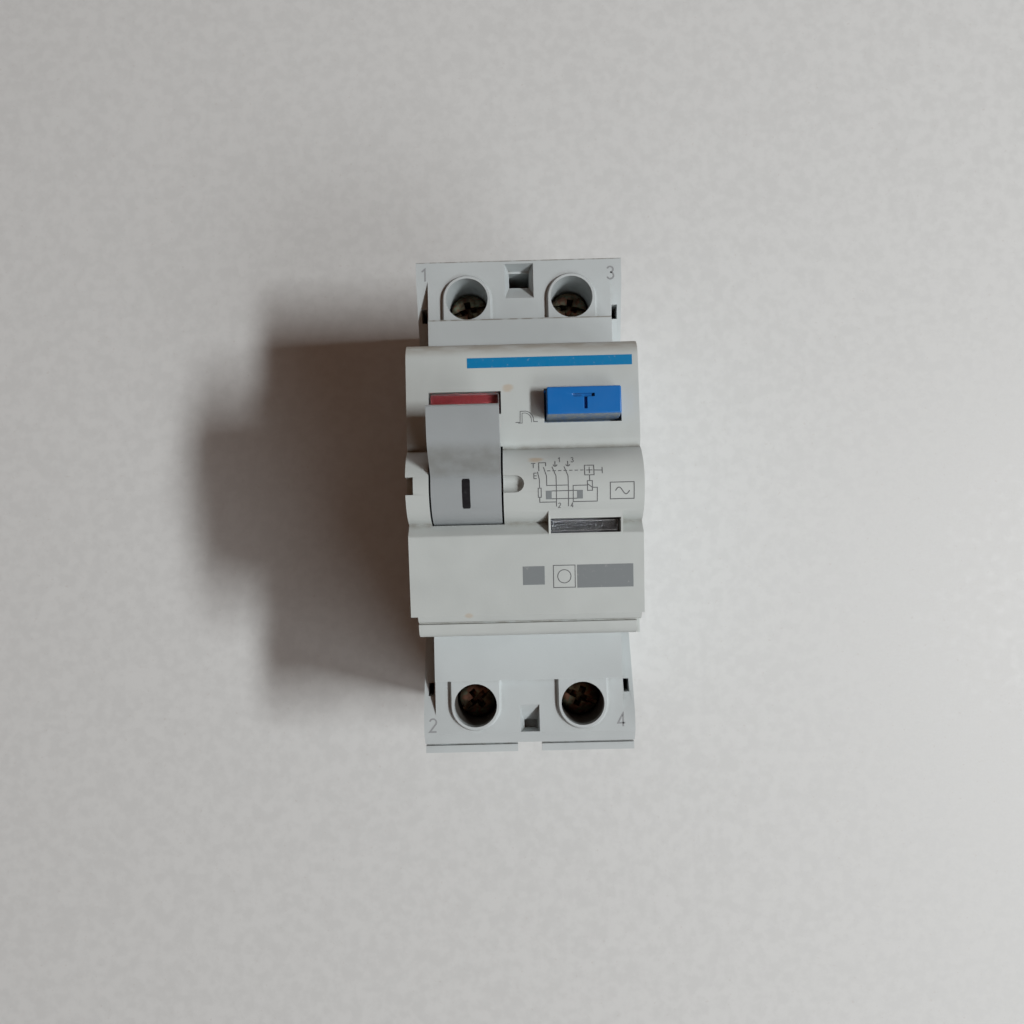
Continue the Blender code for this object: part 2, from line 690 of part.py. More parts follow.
def terminal_cage(number, x, y):
    """The lifting clamp: a square steel loop whose top wall is threaded on the screw."""
    half = CAGE_HALF_WIDTH
    low_y = y - CAGE_HALF_LENGTH
    high_y = y + CAGE_HALF_LENGTH
    low = (x - half, low_y, CAGE_BOTTOM)
    high = (x + half, high_y, CAGE_TOP)
    cage = block(f"terminal_cage_{number}", low, high, "plated_steel")
    inner = half - CAGE_WALL
    cut(
        cage,
        block(
            f"cage_hole_{number}",
            (x - inner, low_y - 1, CAGE_BOTTOM + CAGE_WALL),
            (x + inner, high_y + 1, CAGE_TOP - 2.0),
        ),
        rod(f"cage_thread_{number}", "Z", (x, y), SHANK_RADIUS + GAP, CAGE_TOP - 4, CAGE_TOP + 1, sides=20),
    )
    pivot_at(cage, x, y, CAGE_BOTTOM)


def clamp_pad(bar, number, x, y):
    """The raised pad under a bar, which the cage presses the conductor against."""
    low_z = BAR_TOP - BAR_THICKNESS - CLAMP_PAD_RISE
    low = (x - CLAMP_PAD_HALF_WIDTH, y - CLAMP_PAD_HALF_LENGTH, low_z)
    high = (x + CLAMP_PAD_HALF_WIDTH, y + CLAMP_PAD_HALF_LENGTH, BAR_TOP - BAR_THICKNESS / 2)
    fuse(bar, block(f"clamp_pad_{number}", low, high))


def line_bar(number, x):
    """The copper bar from a line cage to its fixed contact."""
    outline = (
        (37.4, BAR_TOP),
        (37.4, BAR_TOP - BAR_THICKNESS),
        (22.9, BAR_TOP - BAR_THICKNESS),
        (22.9, 30.6),
        (24.4, 30.6),
        (24.4, BAR_TOP),
    )
    bar = prism(f"line_bar_{number}", "X", outline, x - BAR_HALF_WIDTH, x + BAR_HALF_WIDTH, "copper")
    clamp_pad(bar, number, x, LINE_Y)
    rod(f"fixed_contact_{number}", "Y", (x, 28.4), 1.6, 21.5, 22.6, "silver", 16)


def load_bar(number, x):
    outline = ((-38.9, 16.0), (-24.1, 16.0), (-24.1, BAR_TOP), (-38.9, BAR_TOP))
    bar = prism(f"load_bar_{number}", "X", outline, x - BAR_HALF_WIDTH, x + BAR_HALF_WIDTH, "copper")
    clamp_pad(bar, number, x, LOAD_Y)


def moving_contact(number, x):
    """A contact blade on the carrier, its tip, its pressure spring and its braid."""
    outline = (
        (16.9, 8.4),
        (18.1, 8.4),
        (18.3, 17.0),
        (20.4, 26.0),
        (21.2, 26.6),
        (21.2, 30.2),
        (19.4, 30.2),
        (19.2, 26.4),
        (17.1, 17.4),
    )
    blade = prism(
        f"moving_contact_{number}", "X", outline, x - BLADE_HALF_WIDTH, x + BLADE_HALF_WIDTH, "copper"
    )
    pivot_at(blade, 0, CARRIER_Y, CARRIER_Z)
    spring = wire(f"contact_spring_{number}", helix("Y", (x, 23.6), 1.5, 13.4, 17.6, 4), 0.25, "steel")
    pivot_at(spring, 0, CARRIER_Y, CARRIER_Z)


def contact_carrier():
    """The moulded shaft that swings both contact blades, with a slotted arm for the drive link."""
    hub = rod("contact_carrier", "X", (CARRIER_Y, CARRIER_Z), 3.3, -15.6, 15.6, "carrier_black")
    arm = (
        (10.5, 11.5),
        (8.0, 21.0),
        (7.6, 28.2),
        (12.1, 28.2),
        (12.3, 22.8),
        (15.9, 17.0),
        (15.9, 10.0),
        (13.0, 9.9),
    )
    fuse(
        hub,
        prism("drive_arm", "X", arm, -13.6, -3.9),
        prism("plain_arm", "X", arm, 5.6, 12.4),
        block("spring_tab", (-1.6, 5.6, 11.6), (1.6, 12.0, 13.6)),
    )
    slot = ((8.7, 22.6), (11.1, 22.6), (11.1, 27.2), (8.7, 27.2))
    cut(
        hub,
        prism("link_slot_left", "X", slot, -14.5, -11.2),
        prism("link_slot_right", "X", slot, -6.3, -3.0),
        rod("carrier_bore", "X", (CARRIER_Y, CARRIER_Z), PIN_HOLE_RADIUS, -16.0, 16.0),
    )
    pivot_at(hub, 0, CARRIER_Y, CARRIER_Z)
    rod("carrier_pin", "X", (CARRIER_Y, CARRIER_Z), PIN_RADIUS, -17.0, 17.0, "steel")
    wire("opening_spring", helix("Z", (0.0, 6.6), 1.4, 2.2, 11.0, 6), 0.25, "steel")


def drive_link():
    """The wire stirrup from the toggle's crank to the carrier's slotted arm."""
    left, right = -14.9, -2.6
    points = [
        (-11.9, LINK_FOOT_Y, LINK_FOOT_Z),
        (left + 0.6, LINK_FOOT_Y, LINK_FOOT_Z),
        (left, LINK_FOOT_Y - 0.3, LINK_FOOT_Z + 0.6),
        (left, CRANK_Y + 0.3, CRANK_Z - 0.6),
        (left + 0.6, CRANK_Y, CRANK_Z),
        (right - 0.6, CRANK_Y, CRANK_Z),
        (right, CRANK_Y + 0.3, CRANK_Z - 0.6),
        (right, LINK_FOOT_Y - 0.3, LINK_FOOT_Z + 0.6),
        (right - 0.6, LINK_FOOT_Y, LINK_FOOT_Z),
        (-5.6, LINK_FOOT_Y, LINK_FOOT_Z),
    ]
    link = wire("drive_link", points, LINK_RADIUS, "steel")
    pivot_at(link, 0, CRANK_Y, CRANK_Z)


# ---------------------------------------------------------------- sensing and tripping


def smooth_route(points, steps=6):
    """A Catmull-Rom curve through the points."""
    route = [points[0]]
    padded = [points[0], *points, points[-1]]
    for a, b, c, d in zip(padded, padded[1:], padded[2:], padded[3:]):
        for i in range(1, steps + 1):
            t = i / steps
            point = []
            for p, q, r, s in zip(a, b, c, d):
                bend = (2 * p - 5 * q + 4 * r - s) * t + (3 * q - p - 3 * r + s) * t * t
                point.append(0.5 * (2 * q + (r - p) * t + bend * t))
            route.append(tuple(point))
    return route


def current_transformer():
    """The ring core in its case, the secondary winding on one side, and the two primaries."""
    centre = (CORE_X, CORE_Z)
    core = rod("transformer_core", "Y", centre, CORE_OUTER_RADIUS, CORE_BACK, CORE_FRONT, "core_case", 40)
    cut(core, rod("core_hole", "Y", centre, CORE_HOLE_RADIUS, -30, 0, sides=28))
    seat_out = CORE_X - CORE_OUTER_RADIUS + 0.4
    seat_in = CORE_X - CORE_HOLE_RADIUS - 0.7
    low, high = CORE_Z - 4.2, CORE_Z + 4.2
    cut(
        core,
        block("seat_outer", (seat_out - 4, CORE_BACK - 1, low), (seat_out, CORE_FRONT + 1, high)),
        block("seat_inner", (seat_in, CORE_BACK - 1, low), (seat_in + 2, CORE_FRONT + 1, high)),
    )
    thick = 1.1
    winding = block(
        "secondary_winding",
        (seat_out - GAP - thick, CORE_BACK - GAP - thick, low + GAP),
        (seat_in + GAP + thick, CORE_FRONT + GAP + thick, high - GAP),
        "copper",
    )
    cut(
        winding,
        block(
            "winding_hole",
            (seat_out - GAP, CORE_BACK - GAP, low),
            (seat_in + GAP, CORE_FRONT + GAP, high),
        ),
    )
    for number, side in ((2, -1), (4, 1)):
        core_x = CORE_X + 1.9 * side
        points = [(core_x, -7.0, CORE_Z), (core_x, -14.0, CORE_Z), (core_x, -20.2, CORE_Z)]
        points += [(core_x + 2.4 * side, -22.4, CORE_Z), (POLE_X * side, -22.7, CORE_Z)]
        points.append((10.6 * side, -22.7, CORE_Z))
        wire(f"primary_conductor_{number}", smooth_route(points, 4), 1.1, "copper")
    for number, x, core_x in ((1, -POLE_X, CORE_X - 1.9), (3, POLE_X, CORE_X + 1.9)):
        points = [(x, 16.9, 7.9), (x, 13.0, 5.2), (x, 5.0, 5.0), (0.5 * (x + core_x), -2.0, 10.0)]
        points += [(core_x, -4.5, 16.0), (core_x, -6.7, CORE_Z)]
        wire(f"braid_{number}", smooth_route(points, 5), 0.9, "copper")


def trip_relay():
    """The relay: a case with its coil and yoke, a lid, and the plunger that it lets go."""
    case = block("relay_case", (1.4, -20.4, 31.6), (14.8, -4.4, 46.4), "carrier_black")
    cut(
        case,
        block("relay_hollow", (2.6, -19.2, 32.8), (13.6, -5.6, 48.0)),
        rod("plunger_hole", "Y", (8.6, 40.0), 1.5, -7.0, -3.0, sides=16),
    )
    lid = block("relay_lid", (1.4, -20.4, 46.7), (14.8, -4.4, 47.7), "carrier_black")
    fuse(lid, block("lid_spigot", (2.9, -18.9, 45.8), (13.3, -5.9, 47.0)))
    yoke = block("relay_yoke", (4.0, -18.6, 33.2), (13.0, -8.6, 35.0), "steel")
    fuse(yoke, block("yoke_post", (4.0, -18.6, 33.4), (13.0, -17.0, 45.0)))
    rod("relay_coil", "Y", (8.6, 40.0), 3.6, -16.6, -9.4, "copper", 20)
    plunger = rod("relay_plunger", "Y", (8.6, 40.0), 1.1, -9.0, -2.8, "steel", 16)
    pivot_at(plunger, 8.6, -2.8, 40.0)


def trip_mechanism():
    """The bracket under the relay, and the lever that the plunger kicks."""
    bracket = block("relay_bracket", (0.3, -20.4, 30.1), (14.8, -3.0, 31.3), "steel")
    ear = ((-20.4, 30.1), (2.4, 30.1), (2.4, 36.4), (-3.2, 36.4), (-5.0, 31.3), (-20.4, 31.3))
    fuse(bracket, prism("bracket_ear", "X", ear, -0.3, 0.9))
    cut(bracket, rod("ear_hole", "X", (TRIP_Y, TRIP_Z), TRIP_PIN_RADIUS + GAP, -1.0, 2.0, sides=16))
    outline = arc((TRIP_Y, TRIP_Z), 2.4, 180, 360, 8)
    outline += [(0.6, 42.0), (-3.1, 51.0), (-3.1, 54.8), (-3.8, 54.8), (-3.8, 50.5), (-2.2, 42.0)]
    lever = prism("trip_lever", "X", outline, 7.6, 10.4, "carrier_black")
    fuse(lever, rod("trip_tube", "X", (TRIP_Y, TRIP_Z), 2.2, 5.0, 13.0, sides=20))
    cut(lever, rod("trip_bore", "X", (TRIP_Y, TRIP_Z), TRIP_PIN_RADIUS + GAP, 0.0, 20.0, sides=16))
    pivot_at(lever, 0, TRIP_Y, TRIP_Z)
    rod("trip_pin", "X", (TRIP_Y, TRIP_Z), TRIP_PIN_RADIUS, -0.2, 17.0, "steel", 16)
    coil = helix("X", (TRIP_Y, TRIP_Z), 1.5, 1.6, 3.8, 3)
    wire("trip_spring", coil + [(3.9, 1.2, 31.8)], 0.25, "steel")


def main():
    clear_scene()
    make_materials()
    rear_base()
    terminal_housing()
    front_cover()
    din_clip()
    toggle_lever()
    position_flag()
    test_button()
    fault_indicator()
    test_circuit()
    for number, x, y, _way in TERMINALS:
        terminal_screw(number, x, y)
        terminal_cage(number, x, y)
    for number, x in ((1, -POLE_X), (3, POLE_X)):
        line_bar(number, x)
        moving_contact(number, x)
    for number, x in ((2, -POLE_X), (4, POLE_X)):
        load_bar(number, x)
    contact_carrier()
    drive_link()
    current_transformer()
    trip_relay()
    trip_mechanism()


main()
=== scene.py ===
"""Looks of the residual current device: finishes, fine pieces, prints, table, light and camera."""

import json
import math

import bmesh
import bpy
from mathutils import Matrix, Vector


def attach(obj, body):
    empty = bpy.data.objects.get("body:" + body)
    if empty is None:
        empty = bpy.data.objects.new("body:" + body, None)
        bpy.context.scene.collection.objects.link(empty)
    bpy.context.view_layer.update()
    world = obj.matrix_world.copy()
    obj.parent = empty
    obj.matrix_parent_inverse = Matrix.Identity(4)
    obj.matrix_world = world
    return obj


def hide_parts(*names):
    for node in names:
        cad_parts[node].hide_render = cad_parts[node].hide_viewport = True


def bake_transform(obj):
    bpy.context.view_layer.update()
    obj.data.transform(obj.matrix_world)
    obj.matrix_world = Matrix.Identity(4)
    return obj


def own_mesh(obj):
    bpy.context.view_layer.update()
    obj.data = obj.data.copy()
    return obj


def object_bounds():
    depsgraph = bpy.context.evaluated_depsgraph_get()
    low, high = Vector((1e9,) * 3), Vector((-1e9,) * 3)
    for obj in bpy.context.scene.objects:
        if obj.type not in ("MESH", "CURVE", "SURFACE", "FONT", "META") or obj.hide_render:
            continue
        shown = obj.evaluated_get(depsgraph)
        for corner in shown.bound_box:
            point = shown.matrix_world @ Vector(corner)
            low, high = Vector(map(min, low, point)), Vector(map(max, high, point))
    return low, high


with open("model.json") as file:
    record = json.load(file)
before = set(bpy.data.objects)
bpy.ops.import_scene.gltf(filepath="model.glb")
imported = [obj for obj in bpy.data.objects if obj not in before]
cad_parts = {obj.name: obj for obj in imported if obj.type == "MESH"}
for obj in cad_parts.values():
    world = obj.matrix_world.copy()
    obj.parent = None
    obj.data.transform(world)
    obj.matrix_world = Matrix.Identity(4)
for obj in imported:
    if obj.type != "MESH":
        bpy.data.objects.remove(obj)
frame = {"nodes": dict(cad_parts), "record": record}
cad_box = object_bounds()

MM = 0.001
NODES = frame["nodes"]

# The front, in millimetres: the poles' centres, levels above the rail's plane, the barrel and the
# slope below it
POLE_X = 9.0
FACE_Z = 44.0
PANEL_Z = 60.0
BARREL_Y = 0.3
BARREL_Z = 57.0
BARREL_RADIUS = 6.0
BARREL_START = 6.0
BARREL_END = -5.6
SLOPE_TOP_Y = -7.1
SLOPE_TOP_Z = 60.5
SLOPE = 1.8 / 12.35

# Prints, in millimetres: how far they stand above and reach below the surface, the longest step along
# a line or an arc, then the numerals and the diagram
PRINT_RISE = 0.025
PRINT_SINK = 0.03
PRINT_STEP = 0.35
ARC_STEP = 0.12
NUMERAL_SIZE = 2.15
NUMERAL_LINE = 0.27
NUMERAL_PLACES = {1: (-17.0, 37.3), 3: (15.3, 36.95), 2: (-16.8, -39.7), 4: (14.85, -39.45)}
DIAGRAM_LINE = 0.12
DASH_START = 3.35
DASH_PITCH = 0.82
DASH_LENGTH = 0.5
DASHES = 7

# Terminal screws, in millimetres: number, centre and the turn of the recess in degrees
SCREWS = (
    (1, -POLE_X, 33.8, 14.0),
    (3, POLE_X, 33.8, -9.0),
    (2, -POLE_X, -35.35, 38.0),
    (4, POLE_X, -35.35, -24.0),
)

# Their profiles as (radius, height) pairs, and the wedges that cut the recess as (x, y) halves
HEAD_PROFILE = (
    (0.0, 32.7), (1.9, 32.7), (2.0, 33.2), (3.05, 33.3), (3.28, 33.55), (3.28, 36.1),
    (3.15, 36.55), (2.85, 36.85), (2.2, 37.15), (1.2, 37.28), (0.0, 37.3),
)
SHANK_PROFILE = ((0.0, 18.4), (1.5, 18.4), (2.02, 19.0), (2.02, 32.8), (1.6, 33.0), (0.0, 33.0))
CROSS_FOOT = (0.34, 1.15)
CROSS_MOUTH = (0.62, 1.95)
CROSS_FLOOR = 35.2
SLOT_FOOT = (3.6, 0.36)
SLOT_MOUTH = (3.6, 0.44)
SLOT_FLOOR = 36.2
RECESS_TOP = 37.7
THREAD_RADIUS = 2.06
THREAD_FOOT = 19.2
THREAD_PITCH = 0.8
THREAD_TURNS = 14
THREAD_STEPS = 24
THREAD_WIRE = 0.33

# The on mark, in millimetres, with radii about the barrel's axis and angles in degrees
MARK_LEFT = -9.32
MARK_RIGHT = -8.13
MARK_INNER = 5.4
MARK_OUTER = 5.985
MARK_START = 82.0
MARK_SWEEP = 44.4
MARK_STEPS = 16
MARK_CORNER = 0.12

# Springs: points in a turn, the rise of a closed turn as a share of the length, and the points that
# make way for a leg
COIL_STEPS = 28
CLOSED_PITCH_SHARE = 0.03
LEG_CUT = 7

# Braids, in millimetres: where they end at the core, and how their strands lie
CORE_X = 1.5
CORE_SPREAD = 1.9
BRAID_STRANDS = 6
BRAID_LAY = 0.56
BRAID_TURN = 7.0

# CAD pieces: edge rounding and weld distance in millimetres, and the angle of a sharp edge in degrees
EDGE_WIDTH = 0.1
EDGE_WIDTHS = {"toggle_lever": 0.16, "din_clip": 0.2, "test_button": 0.08}
SHARP_ANGLE = 30.0
WELD_DISTANCE = 0.002
NORMAL_WEIGHT = 80
WOUND = {"secondary_winding": "wound_across", "relay_coil": "wound_along"}

# Where dirt, wear, scuffs, painted shade and painted light begin and where they are full, in metres along X,
# Y or Z
LOAD_END_Y = (-0.0300, -0.0305)
WELL_DEPTH_Z = (0.0438, 0.0425)
WELL_REACH = (0.0040, 0.0037)
WELL_INBOARD_Y = (-0.0396, -0.0391)
NOSE_LINE_END_Y = (0.0200, 0.0222)
NOSE_TOP_Z = (0.0535, 0.0575)
BUTTON_LIT_FRONT_Y = (0.01050, 0.01040)
HOLLOW_UPPER_Y = (0.0066, 0.0046)
HOLLOW_LOWER_Y = (0.0010, 0.0023)
FAULT_LENS_X = (0.0, 0.001)

# Tan stains on the nose, in metres: centre x and y, half width, half length and strength
STAINS = (
    (-0.0022, 0.0151, 0.0010, 0.0007, 0.45),
    (0.0019, 0.0038, 0.0016, 0.0005, 0.55),
    (-0.0089, -0.0194, 0.0008, 0.0005, 0.40),
)

# Darker ragged bands along the top edges of the housing at the line end, in metres: first y, lowest z and
# where the line stops
DARK_EDGE_BANDS = ((0.04035, 0.04370, None), (0.02945, 0.04620, 0.0299))

# Where the flags change colour, in metres along Y
POSITION_FLAG_JOIN = 0.0108
FAULT_FLAG_JOIN = -0.0080

# The table in metres, and each light's place, target, size, power in watts and colour
TABLE_HALF = 0.6
TABLE_DROP = 0.00004
LIGHTS = {
    "window": ((0.86, -0.095, 1.05), (0, 0, 0.01), (0.36, 0.10), 13.8, (0.97, 0.99, 1.0)),
    "far_window": ((0.62, -0.62, 0.80), (0, 0, 0.01), (0.60, 0.40), 3.4, (0.95, 0.98, 1.0)),
    "load_wall": ((0.25, -1.10, 0.17), (0, 0, 0.04), (1.0, 0.22), 1.1, (0.95, 0.98, 1.0)),
    "line_wall": ((0.25, 1.10, 0.17), (0, 0, 0.04), (1.0, 0.22), 1.3, (0.92, 0.96, 1.0)),
}
ROOM_COLOUR = (0.80, 0.38, 0.20, 1.0)
ROOM_STRENGTH = 0.1
BACKDROP_COLOUR = (0.56, 0.56, 0.55, 1.0)

# The camera's place and lens in millimetres and its turns in degrees
CAMERA_PLACE = (-1.22, -10.50, 187.10)
CAMERA_TURN = (3.0, 0.431, -1.386)
CAMERA_LENS = 29.57


# ---------------------------------------------------------------- node helpers


class Finish:
    """A Principled material under construction, with the procedural nodes that feed it."""

    def __init__(self, name, metallic=0.0, specular=0.5):
        self.name = name
        self.material = bpy.data.materials.new(f"{name}_finish")
        self.material.use_nodes = True
        self.tree = self.material.node_tree
        self.shader = self.tree.nodes["Principled BSDF"]
        self.shader.inputs["Metallic"].default_value = metallic
        self.shader.inputs["Specular IOR Level"].default_value = specular
        self.place = self.node("ShaderNodeTexCoord").outputs["Object"]

    def node(self, kind, **settings):
        made = self.tree.nodes.new(kind)
        for key, value in settings.items():
            setattr(made, key, value)
        return made

    def feed(self, socket, value):
        """Link an output, or set a plain value."""
        if isinstance(value, bpy.types.NodeSocket):
            self.tree.links.new(value, socket)
        else:
            socket.default_value = value

    def stretched(self, scale):
        mapping = self.node("ShaderNodeMapping")
        self.feed(mapping.inputs["Vector"], self.place)
        mapping.inputs["Scale"].default_value = scale
        return mapping.outputs["Vector"]

    def noise(self, size, detail=2.0, vector=None, distortion=0.0):
        """Noise between 0 and 1 whose blobs are about size metres wide."""
        made = self.node("ShaderNodeTexNoise")
        self.feed(made.inputs["Vector"], self.place if vector is None else vector)
        made.inputs["Scale"].default_value = 1.0 / size
        made.inputs["Detail"].default_value = detail
        made.inputs["Distortion"].default_value = distortion
        return made.outputs["Fac"]

    def spread(self, value, low, high, to_low=0.0, to_high=1.0):
        """Map a value from one range to another, clamped and smooth."""
        made = self.node("ShaderNodeMapRange", interpolation_type="SMOOTHSTEP")
        self.feed(made.inputs["Value"], value)
        made.inputs["From Min"].default_value = low
        made.inputs["From Max"].default_value = high
        made.inputs["To Min"].default_value = to_low
        made.inputs["To Max"].default_value = to_high
        return made.outputs["Result"]

    def ramp(self, letter, ends, to_low=0.0):
        """Up to 1 between two places along an axis, in metres."""
        return self.spread(self.axis(letter), *ends, to_low, 1.0)

    def maths(self, operation, first, second=0.0):
        made = self.node("ShaderNodeMath", operation=operation)
        self.feed(made.inputs[0], first)
        self.feed(made.inputs[1], second)
        return made.outputs["Value"]

    def product(self, first, *others):
        for value in others:
            first = self.maths("MULTIPLY", first, value)
        return first

    def mix(self, share, first, second):
        """Blend two colours, or two outputs that carry a colour."""
        made = self.node("ShaderNodeMix", data_type="RGBA")
        self.feed(made.inputs["Factor"], share)
        self.feed(made.inputs["A"], (*first, 1.0) if isinstance(first, tuple) else first)
        self.feed(made.inputs["B"], (*second, 1.0) if isinstance(second, tuple) else second)
        return made.outputs["Result"]

    def axis(self, letter):
        """The place along X, Y or Z, in metres."""
        made = self.node("ShaderNodeSeparateXYZ")
        self.feed(made.inputs["Vector"], self.place)
        return made.outputs[letter]

    def creases(self, reach):
        """1 in the open and towards 0 in corners closer than reach."""
        made = self.node("ShaderNodeAmbientOcclusion", samples=4, only_local=True)
        made.inputs["Distance"].default_value = reach
        return made.outputs["AO"]

    def edges(self, radius):
        """0 on flat faces and towards 1 along edges, from the normal rounded over a radius."""
        bevel = self.node("ShaderNodeBevel", samples=4)
        bevel.inputs["Radius"].default_value = radius
        geometry = self.node("ShaderNodeNewGeometry")
        product = self.node("ShaderNodeVectorMath", operation="DOT_PRODUCT")
        self.feed(product.inputs[0], bevel.outputs["Normal"])
        self.feed(product.inputs[1], geometry.outputs["Normal"])
        return self.spread(product.outputs["Value"], 0.995, 0.80)

    def bump(self, height, strength, depth):
        made = self.node("ShaderNodeBump")
        made.inputs["Strength"].default_value = strength
        made.inputs["Distance"].default_value = depth
        self.feed(made.inputs["Height"], height)
        self.feed(self.shader.inputs["Normal"], made.outputs["Normal"])

    def colour(self, value):
        self.feed(self.shader.inputs["Base Color"], (*value, 1.0) if isinstance(value, tuple) else value)

    def tone(self):
        """The output that feeds the base colour so far."""
        return self.shader.inputs["Base Color"].links[0].from_socket

    def roughness(self, value):
        self.feed(self.shader.inputs["Roughness"], value)


def srgb(red, green, blue):
    """Display values from 0 to 255 as the linear colour that shaders take."""
    channels = []
    for value in (red, green, blue):
        share = value / 255
        channels.append(share / 12.92 if share <= 0.04045 else ((share + 0.055) / 1.055) ** 2.4)
    return tuple(channels)


def scaled(colour, factor):
    return tuple(min(1.0, channel * factor) for channel in colour)


# ---------------------------------------------------------------- finishes
# Sizes in the finishes are in metres, as the texture coordinates are.


def moulded(name, base, roughness=0.5, speck=0.16, grime_and_shade=(0.30, 0.24, 0.17), wear=0.25):
    """Moulded plastic: broad tone drift, fine specks, grime with painted shade in corners, rubbed edges,
    eroded texture.
    """
    finish = Finish(name, specular=0.42)
    drift = finish.noise(0.011, 3.0, distortion=0.4)
    tone = finish.mix(finish.spread(drift, 0.3, 0.7), scaled(base, 0.955), scaled(base, 1.035))
    fine = finish.noise(0.00042, 2.0)
    dark = finish.spread(fine, 0.69, 0.78, 0.0, speck)
    tone = finish.mix(dark, tone, scaled(base, 0.45))
    dirt = finish.noise(0.0016, 4.0)
    # Painted shade mixed with grime: corners found by occlusion darken, broken up by a dirt pattern.
    corner = finish.spread(finish.creases(0.0011), 0.42, 0.95, 0.5, 0.0)
    tone = finish.mix(finish.product(corner, finish.spread(dirt, 0.2, 0.75)), tone, grime_and_shade)
    rubbed = finish.product(finish.edges(0.0003), finish.spread(dirt, 0.35, 0.65, 0.0, wear))
    tone = finish.mix(rubbed, tone, scaled(base, 1.22))
    finish.colour(tone)
    polish = finish.spread(finish.noise(0.004, 3.0), 0.3, 0.7, roughness - 0.07, roughness + 0.07)
    finish.roughness(polish)
    finish.bump(finish.noise(0.00035, 3.0), 0.16, 0.00006)
    return finish


def housing_finish():
    """Grey plastic: painted shade deep in the load wells, and darker ragged bands along the top edges of the
    line end.
    """
    finish = moulded("housing_grey", srgb(184, 191, 192), 0.5, speck=0.12, grime_and_shade=srgb(108, 97, 84))
    patch = finish.noise(0.0012, 4.0)
    load_end = finish.ramp("Y", LOAD_END_Y)
    depth = finish.ramp("Z", WELL_DEPTH_Z)
    from_pole = finish.maths("SUBTRACT", finish.maths("ABSOLUTE", finish.axis("X")), POLE_X * MM)
    in_well = finish.spread(finish.maths("ABSOLUTE", from_pole), *WELL_REACH)
    inboard = finish.ramp("Y", WELL_INBOARD_Y)
    # Painted shade in the load wells: darker the deeper the wall, near the poles and inboard of the outer
    # end.
    well_shade = finish.product(load_end, depth, in_well, inboard, 0.9)
    tone = finish.mix(well_shade, finish.tone(), srgb(66, 54, 45))
    ragged = finish.spread(patch, 0.3, 0.6, 0.25, 0.8)
    # Darker ragged bands along the top edges at the line end.
    for start_y, low_z, stop_y in DARK_EDGE_BANDS:
        along = finish.ramp("Y", (start_y, start_y + 0.0002))
        share = finish.product(along, finish.ramp("Z", (low_z, low_z + 0.0003)), ragged)
        if stop_y is not None:
            share = finish.product(share, finish.ramp("Y", (stop_y, stop_y - 0.0001)))
        tone = finish.mix(share, tone, srgb(112, 106, 96))
    finish.colour(tone)
    return finish


def cover_finish():
    """The nose: warmer, soiled towards its line end, with a few tan stains."""
    finish = moulded("cover_cream", srgb(184, 190, 188), 0.46, speck=0.10, grime_and_shade=srgb(112, 98, 80))
    soil_patch = finish.noise(0.0022, 4.0, finish.stretched((0.5, 1.6, 1.0)))
    line_end = finish.ramp("Y", NOSE_LINE_END_Y)
    near_top = finish.ramp("Z", NOSE_TOP_Z, 0.12)
    band = finish.product(line_end, near_top, finish.spread(soil_patch, 0.28, 0.62, 0.2, 0.7))
    tone = finish.mix(band, finish.tone(), srgb(139, 129, 112))
    for x, y, width, length, share in STAINS:
        spot = finish.node("ShaderNodeVectorMath", operation="DISTANCE")
        finish.feed(spot.inputs[0], finish.stretched((1 / width, 1 / length, 0.0)))
        spot.inputs[1].default_value = (x / width, y / length, 0.0)
        fray = finish.spread(soil_patch, 0.2, 0.8, -0.35, 0.35)
        away = finish.maths("ADD", spot.outputs["Value"], fray)
        tone = finish.mix(finish.spread(away, 1.0, 0.3, 0.0, share), tone, srgb(176, 150, 116))
    finish.colour(tone)
    return finish


def button_finish():
    """Blue plastic whose front side is painted light grey, as lit, and speckled with dust."""
    finish = moulded("button_blue", srgb(20, 105, 178), 0.36, speck=0.05, grime_and_shade=srgb(40, 62, 88), wear=0.12)
    # Painted light with dust on the front side: a speckled grey over the blue.
    front = finish.ramp("Y", BUTTON_LIT_FRONT_Y)
    rubbed = finish.spread(finish.noise(0.0005, 3.0), 0.38, 0.66, 0.5, 0.95)
    finish.colour(finish.mix(finish.product(front, rubbed), finish.tone(), srgb(150, 158, 156)))
    return finish


def toggle_finish():
    """Grey plastic, with painted shade in the hollow where a thumb pushes."""
    finish = moulded("toggle_grey", srgb(152, 158, 160), 0.42, speck=0.06, grime_and_shade=srgb(66, 60, 54), wear=0.35)
    upper = finish.ramp("Y", HOLLOW_UPPER_Y)
    lower = finish.ramp("Y", HOLLOW_LOWER_Y)
    hollow_shade = finish.spread(finish.noise(0.0024, 4.0), 0.3, 0.7, 0.22, 0.44)
    # Painted shade: the hollow between the tip and the hub is darker.
    finish.colour(finish.mix(finish.product(upper, lower, hollow_shade), finish.tone(), srgb(92, 90, 78)))
    return finish


def metal(name, base, tarnish, roughness=0.35):
    """Metal with tarnish patches, painted shade in its creases, and fine scratches."""
    finish = Finish(name, metallic=1.0)
    patches = finish.noise(0.0012, 4.0, distortion=0.6)
    tone = finish.mix(finish.spread(patches, 0.35, 0.68), base, tarnish)
    # Painted shade: creases darken towards a dark tarnish tone.
    tone = finish.mix(finish.spread(finish.creases(0.0007), 0.3, 0.9, 0.6, 0.0), tone, scaled(tarnish, 0.3))
    finish.colour(tone)
    lines = finish.noise(0.0004, 3.0, finish.stretched((1.0, 0.08, 1.0)))
    finish.roughness(finish.spread(patches, 0.3, 0.7, roughness - 0.08, roughness + 0.16))
    finish.bump(lines, 0.25, 0.00003)
    return finish


